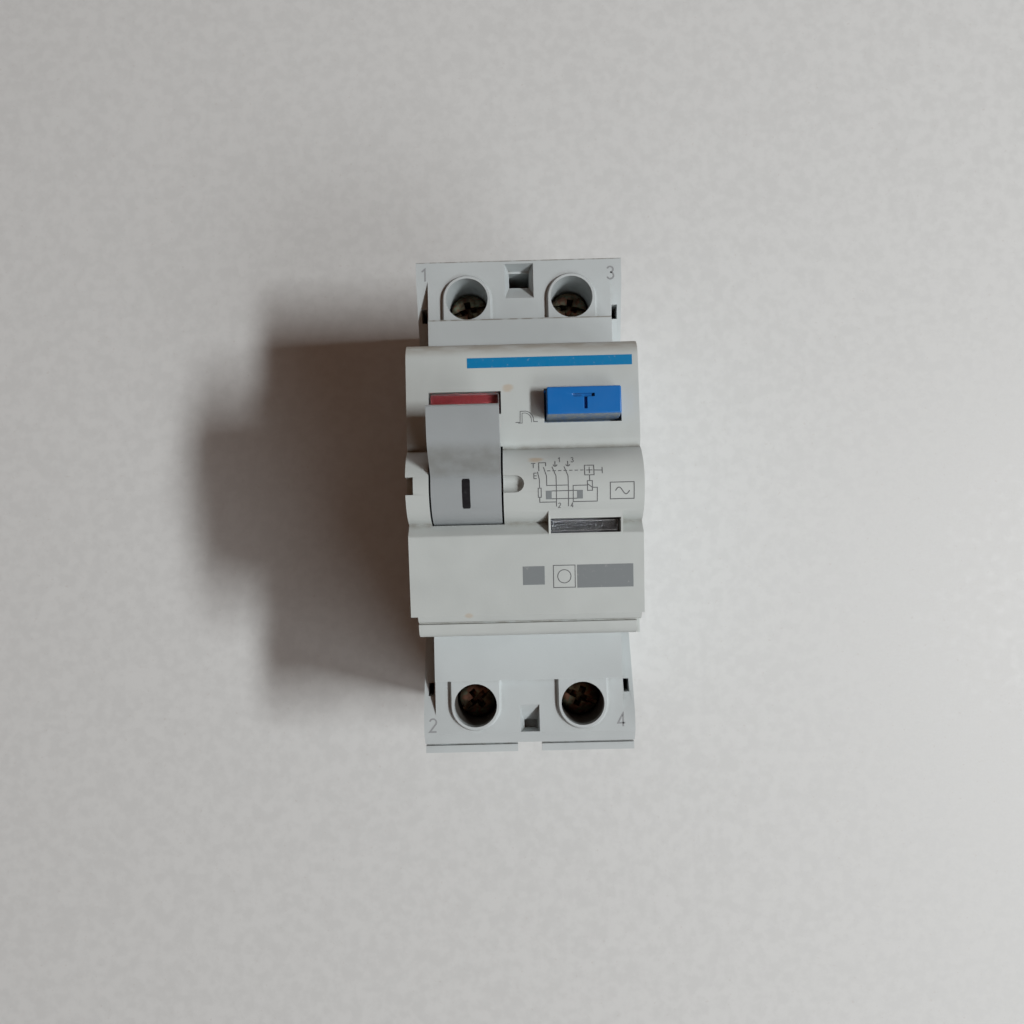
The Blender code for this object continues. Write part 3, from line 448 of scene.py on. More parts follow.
def passivated_finish():
    """Old yellow passivated zinc: grey brown, with a green and a rose cast where the film is thicker, and
    painted shade in its creases.
    """
    finish = Finish("plated_steel", metallic=1.0)
    film = finish.noise(0.0022, 3.0, distortion=1.2)
    tone = finish.mix(finish.spread(film, 0.36, 0.46), srgb(170, 146, 122), srgb(152, 158, 134))
    tone = finish.mix(finish.spread(film, 0.50, 0.60), tone, srgb(172, 128, 108))
    worn = finish.noise(0.0014, 3.0)
    tone = finish.mix(finish.spread(worn, 0.42, 0.66, 0.10, 0.8), tone, srgb(96, 72, 58))
    # Painted shade: creases and the recess darken towards near black.
    tone = finish.mix(finish.spread(finish.creases(0.0009), 0.3, 0.95, 0.85, 0.0), tone, srgb(42, 32, 26))
    finish.colour(tone)
    finish.roughness(finish.spread(worn, 0.3, 0.7, 0.38, 0.6))
    finish.bump(finish.noise(0.0005, 3.0), 0.3, 0.00004)
    return finish


def wound_finish(name, direction):
    """Enamelled copper wire wound in close turns, seen as fine ribs across a direction, with painted shade
    between the turns.
    """
    finish = Finish(name, metallic=1.0)
    waves = finish.node("ShaderNodeTexWave", bands_direction=direction)
    finish.feed(waves.inputs["Vector"], finish.place)
    waves.inputs["Scale"].default_value = 800.0
    waves.inputs["Distortion"].default_value = 0.6
    rib = waves.outputs["Fac"]
    patches = finish.noise(0.002, 3.0)
    tone = finish.mix(finish.spread(patches, 0.3, 0.7), srgb(186, 106, 66), srgb(150, 74, 46))
    # Painted shade between the turns: the troughs of the ribs darken.
    finish.colour(finish.mix(finish.spread(rib, 0.35, 0.0, 0.0, 0.8), tone, srgb(60, 30, 20)))
    finish.roughness(finish.spread(patches, 0.3, 0.7, 0.25, 0.4))
    finish.bump(rib, 0.8, 0.00012)
    return finish


def ink(name, base, roughness=0.5, wear=0.35):
    """Pad-printed ink, slightly worn through."""
    finish = Finish(name, specular=0.3)
    worn = finish.noise(0.0006, 4.0)
    tone = finish.mix(finish.spread(worn, 0.62, 0.78, 0.0, wear), base, srgb(170, 171, 168))
    finish.colour(tone)
    finish.roughness(finish.spread(worn, 0.3, 0.7, roughness - 0.08, roughness + 0.1))
    finish.bump(finish.noise(0.0003, 2.0), 0.1, 0.00002)
    return finish


def lens_finish():
    """Clear moulded plastic with dull edges and hairline scratches, scuffed over the fault flag."""
    finish = Finish("lens_clear", specular=0.5)
    finish.colour((0.92, 0.94, 0.95))
    frosted = finish.spread(finish.edges(0.0003), 0.0, 0.6, 1.0, 0.6)
    scuffed = finish.spread(finish.noise(0.0007, 3.0), 0.42, 0.68, 0.995, 0.95)
    clear = finish.mix(finish.ramp("X", FAULT_LENS_X), (1.0, 1.0, 1.0), scuffed)
    finish.feed(finish.shader.inputs["Transmission Weight"], finish.product(frosted, clear))
    finish.shader.inputs["IOR"].default_value = 1.2
    haze = finish.noise(0.0012, 4.0)
    finish.roughness(finish.spread(haze, 0.4, 0.75, 0.03, 0.16))
    finish.bump(finish.noise(0.0006, 3.0, finish.stretched((0.15, 1.0, 1.0))), 0.06, 0.00003)
    return finish


def two_tone(name, low, high, join):
    """A moulded flag with one colour below a join along Y, in metres, and another above it."""
    finish = moulded(name, low, speck=0.3, grime_and_shade=srgb(40, 34, 30), wear=0.15)
    share = finish.ramp("Y", (join - 0.00004, join + 0.00004))
    speck = finish.spread(finish.noise(0.0005, 3.0), 0.5, 0.72, 0.0, 0.4)
    finish.colour(finish.mix(share, finish.tone(), finish.mix(speck, high, scaled(high, 0.5))))
    return finish


FINISHES = {}


def make_finishes():
    made = [
        housing_finish(),
        cover_finish(),
        moulded("clip_grey", srgb(120, 124, 126), 0.55),
        toggle_finish(),
        button_finish(),
        two_tone("flag_red", srgb(40, 130, 70), srgb(168, 62, 66), POSITION_FLAG_JOIN),
        two_tone("flag_dark", srgb(170, 48, 44), srgb(122, 124, 131), FAULT_FLAG_JOIN),
        lens_finish(),
        moulded("carrier_black", srgb(52, 52, 55), 0.55, grime_and_shade=srgb(30, 28, 26)),
        moulded("core_case", srgb(205, 190, 150), 0.5),
        metal("steel", srgb(190, 190, 192), srgb(128, 122, 116)),
        wound_finish("wound_across", "Z"),
        wound_finish("wound_along", "Y"),
        passivated_finish(),
        metal("brass", srgb(214, 182, 110), srgb(150, 116, 66)),
        metal("copper", srgb(214, 140, 106), srgb(140, 84, 62), 0.33),
        metal("silver", srgb(224, 224, 220), srgb(150, 146, 138), 0.28),
        moulded("resistor_body", srgb(196, 176, 146), 0.45),
        ink("print_grey", srgb(96, 98, 100)),
        ink("print_blue", srgb(8, 117, 168), 0.42),
        ink("print_block", srgb(123, 129, 131)),
        ink("print_pale", srgb(146, 149, 151)),
        ink("mark_black", srgb(22, 21, 25), 0.45, 0.04),
    ]
    for finish in made:
        FINISHES[finish.name] = finish.material


def dress(piece, slot):
    piece.data.materials.clear()
    piece.data.materials.append(FINISHES[slot])


# ---------------------------------------------------------------- CAD nodes that stay


def smoothing_group(angle):
    """Nodes that shade a mesh smooth and keep edges sharper than an angle sharp."""
    group = bpy.data.node_groups.new("smooth_faces", "GeometryNodeTree")
    group.interface.new_socket("Geometry", in_out="INPUT", socket_type="NodeSocketGeometry")
    group.interface.new_socket("Geometry", in_out="OUTPUT", socket_type="NodeSocketGeometry")
    start = group.nodes.new("NodeGroupInput")
    end = group.nodes.new("NodeGroupOutput")
    faces = group.nodes.new("GeometryNodeSetShadeSmooth")
    corners = group.nodes.new("GeometryNodeSetShadeSmooth")
    corners.domain = "EDGE"
    corners.inputs["Shade Smooth"].default_value = False
    edge = group.nodes.new("GeometryNodeInputMeshEdgeAngle")
    compare = group.nodes.new("FunctionNodeCompare")
    compare.operation = "GREATER_THAN"
    compare.inputs["B"].default_value = math.radians(angle)
    group.links.new(edge.outputs["Unsigned Angle"], compare.inputs["A"])
    group.links.new(compare.outputs["Result"], corners.inputs["Selection"])
    group.links.new(start.outputs["Geometry"], faces.inputs["Geometry"])
    group.links.new(faces.outputs["Geometry"], corners.inputs["Geometry"])
    group.links.new(corners.outputs["Geometry"], end.inputs["Geometry"])
    return group


def soften(node, width, smoothing):
    """Weld the points, shade smooth and round the edges of a CAD piece, as modifiers only."""
    weld = node.modifiers.new("weld", "WELD")
    weld.merge_threshold = WELD_DISTANCE * MM
    node.modifiers.new("smooth", "NODES").node_group = smoothing
    bevel = node.modifiers.new("edges", "BEVEL")
    bevel.width = width * MM
    bevel.segments = 2
    bevel.limit_method = "ANGLE"
    bevel.angle_limit = math.radians(SHARP_ANGLE)
    bevel.miter_outer = "MITER_ARC"
    normals = node.modifiers.new("normals", "WEIGHTED_NORMAL")
    normals.keep_sharp = True
    normals.weight = NORMAL_WEIGHT


def dress_cad_nodes():
    smoothing = smoothing_group(SHARP_ANGLE)
    slots = {row["node"]: row["material_slot"] for row in frame["record"]["subparts"]}
    for name, node in NODES.items():
        dress(node, WOUND.get(name, slots[name]))
        soften(node, EDGE_WIDTHS.get(name, EDGE_WIDTH), smoothing)


# ---------------------------------------------------------------- mesh helpers


def add_piece(name, bm, slot, body, smooth_angle=35.0):
    """Finish a bmesh as a piece that rides on a body, or on none."""
    bmesh.ops.recalc_face_normals(bm, faces=bm.faces)
    mesh = bpy.data.meshes.new(name)
    bm.to_mesh(mesh)
    bm.free()
    mesh.shade_smooth()
    mesh.set_sharp_from_angle(angle=math.radians(smooth_angle))
    piece = bpy.data.objects.new(name, mesh)
    bpy.context.scene.collection.objects.link(piece)
    mesh.materials.append(FINISHES[slot])
    if body:
        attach(piece, body)
    return piece


def on_circle(centre, across, other, angle, radius):
    """A place on a circle that lies in the plane of two directions."""
    return centre + (across * math.cos(angle) + other * math.sin(angle)) * radius


def join_rings(bm, rings):
    """Faces from each ring of vertices to the next."""
    for first, second in zip(rings, rings[1:]):
        for k in range(len(first)):
            j = (k + 1) % len(first)
            bm.faces.new((first[k], first[j], second[j], second[k]))


def cap_ends(bm, rings):
    bm.faces.new(rings[0])
    bm.faces.new(reversed(rings[-1]))


def cover_height(y):
    """Height of the nose's printed front at y, in millimetres."""
    if y > BARREL_START:
        return PANEL_Z
    if y > BARREL_END:
        return BARREL_Z + math.sqrt(BARREL_RADIUS**2 - (y - BARREL_Y) ** 2)
    return SLOPE_TOP_Z + (y - SLOPE_TOP_Y) * SLOPE


def face_height(_y):
    return FACE_Z


def refined(points):
    """The same path with no step longer than PRINT_STEP."""
    path = [Vector(points[0])]
    for target in points[1:]:
        start = path[-1].copy()
        target = Vector(target)
        count = max(1, math.ceil((target - start).length / PRINT_STEP))
        for i in range(1, count + 1):
            path.append(start.lerp(target, i / count))
    return path


def side_steps(path, i, closed):
    """The direction across the path at point i, longer at a corner so that the width stays even."""
    before = path[i - 1] if i > 0 or closed else None
    after = path[(i + 1) % len(path)] if i < len(path) - 1 or closed else None
    here = path[i]
    first = (here - before).normalized() if before is not None else (after - here).normalized()
    second = (after - here).normalized() if after is not None else first
    middle = (first + second).normalized()
    across = Vector((-middle.y, middle.x))
    return across / max(0.4, across.dot(Vector((-first.y, first.x))))


class Print:
    """Flat strokes laid on a surface, gathered in one thin closed mesh."""

    def __init__(self, height=cover_height):
        self.bm = bmesh.new()
        self.height = height

    def ring(self, point, across, width):
        corners = []
        for side, level in ((1, PRINT_RISE), (-1, PRINT_RISE), (-1, -PRINT_SINK), (1, -PRINT_SINK)):
            spot = point + across * (side * width / 2)
            corners.append(self.bm.verts.new(Vector((spot.x, spot.y, self.height(spot.y) + level)) * MM))
        return corners

    def stroke(self, points, width, closed=False):
        path = refined(list(points) + ([points[0]] if closed else []))
        if closed:
            path.pop()
        rings = [self.ring(path[i], side_steps(path, i, closed), width) for i in range(len(path))]
        if closed:
            join_rings(self.bm, [*rings, rings[0]])
        else:
            join_rings(self.bm, rings)
            cap_ends(self.bm, rings)

    def box(self, low, high, width):
        corners = [(low[0], low[1]), (high[0], low[1]), (high[0], high[1]), (low[0], high[1])]
        self.stroke(corners, width, closed=True)

    def block(self, low, high):
        """A filled rectangle: one broad stroke along Y, which follows the surface."""
        middle = (low[0] + high[0]) / 2
        self.stroke([(middle, low[1]), (middle, high[1])], high[0] - low[0])

    def piece(self, name, slot):
        add_piece(name, self.bm, slot, "housing")


def arc(centre, radius, start, end):
    """Points of an arc between two angles in degrees."""
    count = max(3, math.ceil(abs(math.radians(end - start)) * radius / ARC_STEP))
    points = []
    for i in range(count + 1):
        angle = math.radians(start + (end - start) * i / count)
        points.append((centre[0] + radius * math.cos(angle), centre[1] + radius * math.sin(angle)))
    return points


def numeral(pen, digit, low, size, width):
    """One of the digits 1 to 4, standing on its lower left corner; size is its height."""
    x, y = low
    top = y + size
    wide = size * 0.52
    middle = x + wide / 2
    if digit == 1:
        stem = x + wide * 0.75
        pen.stroke([(x + wide * 0.25, y + size * 0.78), (stem, top), (stem, y)], width)
    elif digit == 2:
        bow = arc((middle, top - wide / 2), wide / 2, 165, -35)
        pen.stroke([*bow, (x, y), (x + wide, y)], width)
    elif digit == 3:
        upper = size * 0.235
        lower = size * 0.265
        pen.stroke(arc((middle, top - upper), upper, 160, -90), width)
        pen.stroke(arc((middle, y + lower), lower, 90, -160), width)
    else:
        foot = y + size * 0.27
        stem = x + wide * 0.78
        pen.stroke([(x + wide * 1.08, foot), (x, foot), (stem, top), (stem, y)], width)


# ---------------------------------------------------------------- finer pieces


def carried_frames(path):
    """Each point of a path with two directions across it, carried round the bends."""
    across = None
    for i, point in enumerate(path):
        along = (path[min(i + 1, len(path) - 1)] - path[max(i - 1, 0)]).normalized()
        if across is None:
            across = along.orthogonal().normalized()
        across = (across - along * across.dot(along)).normalized()
        yield point, across, along.cross(across)


def sweep(bm, points, radius, sides=10):
    """A closed round tube along points, in millimetres."""
    rings = []
    for point, across, other in carried_frames([Vector(p) * MM for p in points]):
        angles = [2 * math.pi * k / sides for k in range(sides)]
        rings.append([bm.verts.new(on_circle(point, across, other, a, radius * MM)) for a in angles])
    join_rings(bm, rings)
    cap_ends(bm, rings)


def coil_points(axis, centre, radius, low, high, turns, closed_ends=0.75):
    """Points of a coil whose end turns lie close together.

    The axis is a letter, and the centre gives the places along the other two.
    """
    total = turns + 2 * closed_ends
    count = int(total * COIL_STEPS)
    wire_step = (high - low) * CLOSED_PITCH_SHARE
    points = []
    for i in range(count + 1):
        turn = total * i / count
        inner = min(max(turn - closed_ends, 0.0), turns)
        ends = min(turn, closed_ends) + max(0.0, turn - closed_ends - turns)
        along = low + wire_step * ends + (high - low - 2 * wire_step * closed_ends) * inner / turns
        angle = 2 * math.pi * turn
        first = centre[0] + radius * math.cos(angle)
        second = centre[1] + radius * math.sin(angle)
        places = {"X": (along, first, second), "Y": (first, along, second), "Z": (first, second, along)}
        points.append(places[axis])
    return points


def spring(name, points, radius, body):
    """A round wire along points, in place of the CAD's spring."""
    bm = bmesh.new()
    sweep(bm, points, radius)
    piece = add_piece(f"{name}_coil", bm, "steel", body)
    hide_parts(name)
    return piece


def springs():
    """Finer coils for the springs; the first three each get a mesh of their own."""
    coil = coil_points("Y", (0.0, -2.95), 1.2, -32.7, -23.0, 6)
    clip = spring("din_clip_spring", coil, 0.22, "housing")
    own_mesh(clip)
    coil = coil_points("Z", (9.1, 12.25), 2.5, 46.6, 56.5, 5)
    button = spring("test_button_spring", coil, 0.25, "housing")
    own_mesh(button)
    coil = coil_points("Z", (0.0, 6.6), 1.4, 2.3, 10.9, 5)
    opening = spring("opening_spring", coil, 0.25, "housing")
    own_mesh(opening)
    for number, x in ((1, -POLE_X), (3, POLE_X)):
        coil = coil_points("Y", (x, 23.6), 1.5, 13.5, 17.5, 3, 0.5)
        spring(f"contact_spring_{number}", coil, 0.25, "carrier")
    coil = coil_points("X", (BARREL_Y, BARREL_Z), 2.0, -10.6, -7.0, 4, 0.25)
    leg = [(-7.0, 3.0, 54.5), (-7.0, 3.45, 54.0)]
    spring("toggle_spring", coil[:-LEG_CUT] + leg, 0.3, "housing")
    coil = coil_points("X", (-0.5, 34.0), 1.5, 1.6, 3.8, 3, 0.25)
    spring("trip_spring", coil[:-LEG_CUT] + [(3.9, 1.2, 31.8)], 0.25, "housing")


def smooth_path(points, steps):
    """Points along a smooth curve through the given ones."""
    ends = [points[0], *points, points[-1]]
    path = []
    for i in range(len(points) - 1):
        a, b, c, d = (Vector(p) for p in ends[i : i + 4])
        for k in range(steps):
            t = k / steps
            square = 2 * a - 5 * b + 4 * c - d
            cube = 3 * b - a - 3 * c + d
            path.append(0.5 * (2 * b + (c - a) * t + square * t**2 + cube * t**3))
    path.append(Vector(points[-1]))
    return path


def strands(path, count, lay, turn_length):
    """Paths of strands twisted round a path: lay is how far out they lie."""
    twisted = [[] for _ in range(count)]
    travelled = 0.0
    before = path[0]
    for point, across, other in carried_frames(path):
        travelled += (point - before).length
        before = point
        for k in range(count):
            angle = 2 * math.pi * (k / count + travelled / turn_length)
            twisted[k].append(on_circle(point, across, other, angle, lay))
    return twisted


def braids():
    """The flexible copper tails, twisted from strands, which bend between the blades and the core."""
    for number, x, inner_x in ((1, -POLE_X, CORE_X - CORE_SPREAD), (3, POLE_X, CORE_X + CORE_SPREAD)):
        points = [(x, 16.9, 7.9), (x, 13.0, 5.2), (x, 5.0, 5.0), (0.5 * (x + inner_x), -2.0, 10.0)]
        points += [(inner_x, -4.5, 16.0), (inner_x, -6.7, 17.0)]
        path = smooth_path(points, 14)
        bm = bmesh.new()
        for strand in strands(path, BRAID_STRANDS, BRAID_LAY, BRAID_TURN):
            sweep(bm, strand, 0.32, 6)
        sweep(bm, path, 0.3, 6)
        piece = add_piece(f"braid_{number}_strands", bm, "copper", None)
        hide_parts(f"braid_{number}")
        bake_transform(piece)


def lathe(bm, centre, profile, sides=48):
    """A solid of revolution about Z from (radius, height) pairs, the first and last on the axis."""
    x, y = centre
    low = bm.verts.new(Vector((x, y, profile[0][1])) * MM)
    high = bm.verts.new(Vector((x, y, profile[-1][1])) * MM)
    rings = []
    for radius, height in profile[1:-1]:
        ring = []
        for k in range(sides):
            angle = 2 * math.pi * k / sides
            spot = (x + radius * math.cos(angle), y + radius * math.sin(angle), height)
            ring.append(bm.verts.new(Vector(spot) * MM))
        rings.append(ring)
    for k in range(sides):
        j = (k + 1) % sides
        bm.faces.new((low, rings[0][j], rings[0][k]))
        bm.faces.new((high, rings[-1][k], rings[-1][j]))
        for first, second in zip(rings, rings[1:]):
            bm.faces.new((first[k], first[j], second[j], second[k]))


def wedge(bm, low_half, high_half, low, high, centre, turn):
    """A four-sided tool, narrower at its low end, turned about Z; halves are (x, y) pairs."""
    corners = []
    for half, height in ((low_half, low), (high_half, high)):
        for sx, sy in ((1, 1), (-1, 1), (-1, -1), (1, -1)):
            spot = Vector((half[0] * sx, half[1] * sy, 0.0))
            spot.rotate(Matrix.Rotation(turn, 3, "Z"))
            corners.append(bm.verts.new(Vector((centre[0] + spot.x, centre[1] + spot.y, height)) * MM))
    bm.faces.new(reversed(corners[:4]))
    bm.faces.new(corners[4:])
    for k in range(4):
        j = (k + 1) % 4
        bm.faces.new((corners[k], corners[j], corners[4 + j], corners[4 + k]))


def carve(piece, tools):
    """Subtract a bmesh of tools from a piece, and keep only the result."""
    bmesh.ops.recalc_face_normals(tools, faces=tools.faces)
    mesh = bpy.data.meshes.new("tool")
    tools.to_mesh(mesh)
    tools.free()
    tool = bpy.data.objects.new("tool", mesh)
    bpy.context.scene.collection.objects.link(tool)
    modifier = piece.modifiers.new("carve", "BOOLEAN")
    modifier.operation = "DIFFERENCE"
    modifier.solver = "EXACT"
    modifier.use_self = True
    modifier.object = tool
    bpy.context.view_layer.update()
    result = bpy.data.meshes.new_from_object(piece.evaluated_get(bpy.context.evaluated_depsgraph_get()))
    piece.modifiers.clear()
    piece.data = result
    bpy.data.objects.remove(tool)


def screw_head(number, x, y, turn):
    """A domed head with a combined cross and slot, cut by three wedges."""
    bm = bmesh.new()
    lathe(bm, (x, y), HEAD_PROFILE)
    piece = add_piece(f"terminal_screw_{number}_head", bm, "plated_steel", f"screw_{number}", 25.0)
    tools = bmesh.new()
    angle = math.radians(turn)
    wedge(tools, CROSS_FOOT, CROSS_MOUTH, CROSS_FLOOR, RECESS_TOP, (x, y), angle)
    wedge(tools, CROSS_FOOT[::-1], CROSS_MOUTH[::-1], CROSS_FLOOR, RECESS_TOP, (x, y), angle)
    wedge(tools, SLOT_FOOT, SLOT_MOUTH, SLOT_FLOOR, RECESS_TOP, (x, y), angle)
    carve(piece, tools)
    return piece


def screw_shank(number, x, y):
    """A plain core with a thread wound on it."""
    bm = bmesh.new()
    lathe(bm, (x, y), SHANK_PROFILE, 32)
    thread = []
    for i in range(THREAD_TURNS * THREAD_STEPS + 1):
        bend = 2 * math.pi * i / THREAD_STEPS
        height = THREAD_FOOT + THREAD_PITCH * i / THREAD_STEPS
        thread.append((x + THREAD_RADIUS * math.cos(bend), y + THREAD_RADIUS * math.sin(bend), height))
    sweep(bm, thread, THREAD_WIRE, 4)
    add_piece(f"terminal_screw_{number}_shank", bm, "plated_steel", f"screw_{number}")


def screws():
    """Each terminal screw as a head and a shank, in place of the CAD's screw."""
    for number, x, y, turn in SCREWS:
        piece = screw_head(number, x, y, turn)
        screw_shank(number, x, y)
        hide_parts(f"terminal_screw_{number}")


def on_mark():
    """The black bar that fills the recess of the toggle's on face and laps its rim."""
    bm = bmesh.new()
    rings = []
    for i in range(MARK_STEPS + 1):
        angle = math.radians(MARK_START + MARK_SWEEP * i / MARK_STEPS)
        inset = MARK_CORNER if i in (0, MARK_STEPS) else 0.0
        left = MARK_LEFT + inset
        right = MARK_RIGHT - inset
        ring = []
        for x, radius in ((left, MARK_INNER), (right, MARK_INNER), (right, MARK_OUTER), (left, MARK_OUTER)):
            spot = (x, BARREL_Y + radius * math.cos(angle), BARREL_Z + radius * math.sin(angle))
            ring.append(bm.verts.new(Vector(spot) * MM))
        rings.append(ring)
    join_rings(bm, rings)
    cap_ends(bm, rings)
    add_piece("toggle_on_mark", bm, "mark_black", "toggle")


# ---------------------------------------------------------------- prints


def terminal_numerals():
    for digit, low in NUMERAL_PLACES.items():
        pen = Print(face_height)
        numeral(pen, digit, low, NUMERAL_SIZE, NUMERAL_LINE)
        pen.piece(f"terminal_numeral_{digit}", "print_pale")


def blue_band():
    pen = Print()
    pen.block((-8.35, 18.3), (16.85, 19.85))
    pen.piece("front_band", "print_blue")


def pulse_symbol():
    """A plain pulse beside the button, drawn with a double line."""
    pen = Print()
    outer = arc((0.2, 10.1), 1.42, 84, 2)
    pen.stroke([(-1.15, 9.8), (-0.45, 9.8), (-0.4, 11.48), *outer, (1.62, 9.88), (2.25, 9.86)], 0.11)
    inner = arc((0.15, 10.1), 1.14, 84, 2)
    pen.stroke([(-0.75, 9.68), (-0.14, 9.68), (-0.12, 11.18), *inner, (1.29, 9.78)], 0.09)
    pen.piece("pulse_symbol", "print_grey")


def draw_test_branch(pen):
    """The test switch with its actuator, and the resistor below it."""
    line = DIAGRAM_LINE
    pen.stroke([(2.15, 2.0), (2.15, 3.3), (3.18, 3.3), (3.18, 2.75)], line)
    pen.stroke([(2.83, 2.6), (3.25, 1.25), (3.25, -0.18), (6.45, -0.18)], line)
    pen.stroke([(1.38, 0.88), (1.38, 1.72)], line)
    for y in (0.88, 1.3, 1.72):
        pen.stroke([(1.38, y), (1.8, y)], line)
    pen.stroke([(1.92, 1.92), (2.18, 0.72), (2.18, -0.55)], line)
    pen.box((1.97, -1.87), (2.41, -0.55), line)
    pen.stroke([(2.18, -1.87), (2.18, -2.6), (4.65, -2.6)], line)
    pen.stroke([(1.0, 3.22), (1.66, 3.22)], line)
    pen.stroke([(1.33, 3.22), (1.33, 2.5)], line)


def draw_poles(pen):
    for foot, hook in ((4.66, 4.58), (6.44, 6.48)):
        pen.stroke([(foot - 0.55, 2.65), (foot, 1.2), (foot, -3.25)], DIAGRAM_LINE)
        pen.stroke([(hook, 3.5), (hook, 2.68)], DIAGRAM_LINE)
        pen.stroke(arc((hook, 2.98), 0.28, 180, 360), DIAGRAM_LINE)


def draw_trip_box(pen):
    """The trip box with its manual reset, and the dashed link that it works."""
    line = DIAGRAM_LINE
    for i in range(DASHES):
        start = DASH_START + DASH_PITCH * i
        pen.stroke([(start, 2.02), (start + DASH_LENGTH, 2.02)], line)
    pen.box((8.93, 1.26), (10.3, 2.74), line)
    pen.stroke([(9.15, 2.0), (10.1, 2.0)], line)
    pen.stroke([(9.62, 1.5), (9.62, 2.5)], line)
    pen.stroke([(10.3, 1.98), (11.53, 1.94)], line)
    pen.stroke([(11.53, 1.45), (11.53, 2.4)], line)


def draw_relay_loop(pen):
    """The relay on the secondary loop, and the two sides of the core."""
    line = DIAGRAM_LINE
    loop = [(9.27, -0.26), (7.15, -0.26), (7.15, -2.62), (10.72, -2.62), (10.72, -0.61), (10.0, -0.61)]
    pen.stroke([(9.62, 1.26), (9.62, 0.39)], line)
    pen.box((9.27, -1.04), (10.0, 0.39), line)
    pen.stroke([(9.27, -0.05), (10.0, -0.62)], line)
    pen.stroke(loop, line)
    for y in (-1.0, -2.14):
        pen.stroke([(3.95, y), (7.72, y)], line)


def circuit_diagram():
    """The usual diagram: two poles through a summation core, a test branch and a trip relay."""
    pen = Print()
    draw_test_branch(pen)
    draw_poles(pen)
    draw_trip_box(pen)
    draw_relay_loop(pen)
    numeral(pen, 1, (5.0, 3.35), 0.72, 0.1)
    numeral(pen, 3, (6.95, 3.3), 0.74, 0.1)
    numeral(pen, 2, (4.95, -3.42), 0.66, 0.09)
    numeral(pen, 4, (6.8, -3.42), 0.66, 0.09)
    pen.piece("circuit_diagram", "print_grey")
    core = Print()
    core.block((3.1, -2.2), (3.95, -0.95))
    core.block((7.72, -2.2), (8.57, -0.95))
    core.piece("diagram_core", "print_block")


def wave_symbol():
    """A sine wave in a box: suited to alternating residual currents."""
    pen = Print()
    line = 0.13
    pen.box((12.65, -2.35), (16.17, 0.08), line)
    steps = 24
    points = []
    for i in range(steps + 1):
        share = i / steps
        points.append((13.4 + 2.1 * share, -1.17 + 0.5 * math.sin(2 * math.pi * share)))
    pen.stroke(points, line)
    pen.piece("wave_symbol", "print_grey")


def approval_blocks():
    """Plain blocks where a device like this carries its approval marks."""
    block = Print()
    block.block((-0.6, -14.9), (2.7, -12.1))
    block.block((7.6, -15.5), (16.1, -12.0))
    block.piece("plain_blocks", "print_block")
    outline = Print()
    outline.box((4.03, -15.4), (7.3, -12.05), DIAGRAM_LINE)
    outline.stroke(arc((5.67, -13.72), 1.0, 0, 345), DIAGRAM_LINE, closed=True)
    outline.piece("plain_box", "print_grey")


# ---------------------------------------------------------------- table, light, camera


def table_top():
    """A pale laminate with faint mottling and small specks."""
    mesh = bpy.data.meshes.new("table")
    bm = bmesh.new()
    bmesh.ops.create_grid(bm, x_segments=1, y_segments=1, size=TABLE_HALF)
    bmesh.ops.translate(bm, verts=bm.verts, vec=(0, 0, cad_box[0].z - TABLE_DROP))
    bm.to_mesh(mesh)
    bm.free()
    table = bpy.data.objects.new("table", mesh)
    bpy.context.scene.collection.objects.link(table)
    finish = Finish("table_laminate", specular=0.3)
    base = srgb(208, 210, 209)
    mottle = finish.noise(0.0022, 5.0)
    tone = finish.mix(finish.spread(mottle, 0.35, 0.65), scaled(base, 0.965), scaled(base, 1.02))
    flecks = finish.noise(0.0009, 2.0)
    tone = finish.mix(finish.spread(flecks, 0.66, 0.78, 0.0, 0.22), tone, srgb(180, 172, 165))
    finish.colour(tone)
    finish.roughness(finish.spread(mottle, 0.3, 0.7, 0.45, 0.6))
    finish.bump(flecks, 0.1, 0.00005)
    show_from_above(finish)
    mesh.materials.append(finish.material)


def show_from_above(finish):
    """Make a surface clear from its back, so that the table doesn't hide the device's underside."""
    output = finish.tree.nodes["Material Output"]
    geometry = finish.node("ShaderNodeNewGeometry")
    clear = finish.node("ShaderNodeBsdfTransparent")
    sides = finish.node("ShaderNodeMixShader")
    finish.feed(sides.inputs["Fac"], geometry.outputs["Backfacing"])
    finish.feed(sides.inputs[1], finish.shader.outputs["BSDF"])
    finish.feed(sides.inputs[2], clear.outputs["BSDF"])
    finish.feed(output.inputs["Surface"], sides.outputs["Shader"])


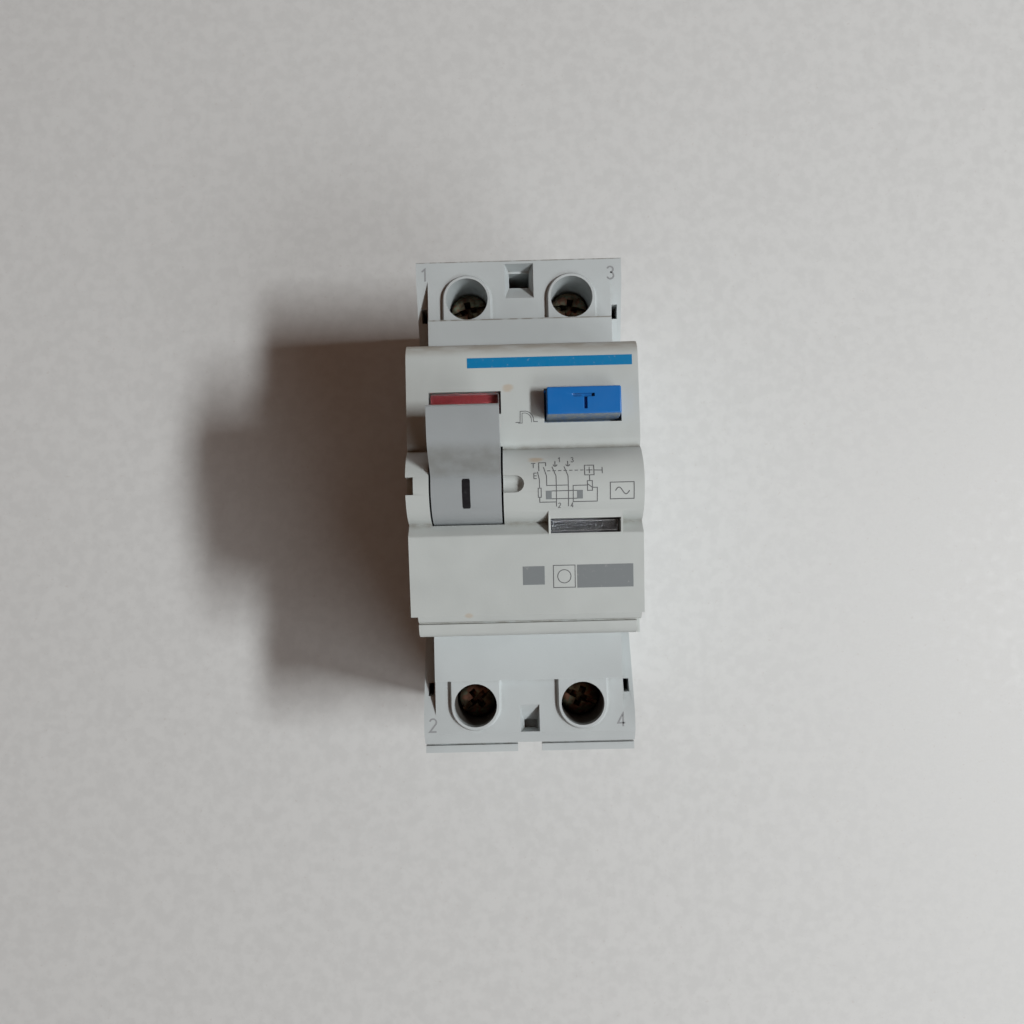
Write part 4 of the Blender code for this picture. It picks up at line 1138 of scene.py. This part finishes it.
def area_light(name, place, target, size, power, colour):
    """A rectangular light that faces a target."""
    data = bpy.data.lights.new(name, "AREA")
    data.shape = "RECTANGLE"
    data.size, data.size_y = size
    data.energy = power
    data.color = colour
    light = bpy.data.objects.new(name, data)
    bpy.context.scene.collection.objects.link(light)
    light.location = place
    light.rotation_euler = (Vector(target) - Vector(place)).to_track_quat("-Z", "Y").to_euler()


def room():
    """A dim warm room around the table, which the camera sees as a plain backdrop."""
    world = bpy.data.worlds.new("room")
    world.use_nodes = True
    nodes = world.node_tree.nodes
    links = world.node_tree.links
    around = nodes["Background"]
    around.inputs["Color"].default_value = ROOM_COLOUR
    around.inputs["Strength"].default_value = ROOM_STRENGTH
    backdrop = nodes.new("ShaderNodeBackground")
    backdrop.inputs["Color"].default_value = BACKDROP_COLOUR
    rays = nodes.new("ShaderNodeLightPath")
    seen = nodes.new("ShaderNodeMixShader")
    links.new(rays.outputs["Is Camera Ray"], seen.inputs["Fac"])
    links.new(around.outputs["Background"], seen.inputs[1])
    links.new(backdrop.outputs["Background"], seen.inputs[2])
    links.new(seen.outputs["Shader"], nodes["World Output"].inputs["Surface"])
    bpy.context.scene.world = world


def lighting():
    """A long window to the right, a second one beyond the load end, two low walls and a warm room."""
    for name, (place, target, size, power, colour) in LIGHTS.items():
        area_light(name, place, target, size, power, colour)
    room()
    bpy.context.scene.view_settings.view_transform = "Standard"


def camera():
    """A phone held over the device, a little below its middle."""
    data = bpy.data.cameras.new("camera")
    data.sensor_width = 36.0
    data.lens = CAMERA_LENS
    data.clip_start = 0.01
    view = bpy.data.objects.new("camera", data)
    view.location = Vector(CAMERA_PLACE) * MM
    view.rotation_euler = [math.radians(a) for a in CAMERA_TURN]
    bpy.context.scene.collection.objects.link(view)
    bpy.context.scene.camera = view


camera()
make_finishes()
dress_cad_nodes()
springs()
braids()
screws()
on_mark()
terminal_numerals()
blue_band()
pulse_symbol()
circuit_diagram()
wave_symbol()
approval_blocks()
table_top()
lighting()
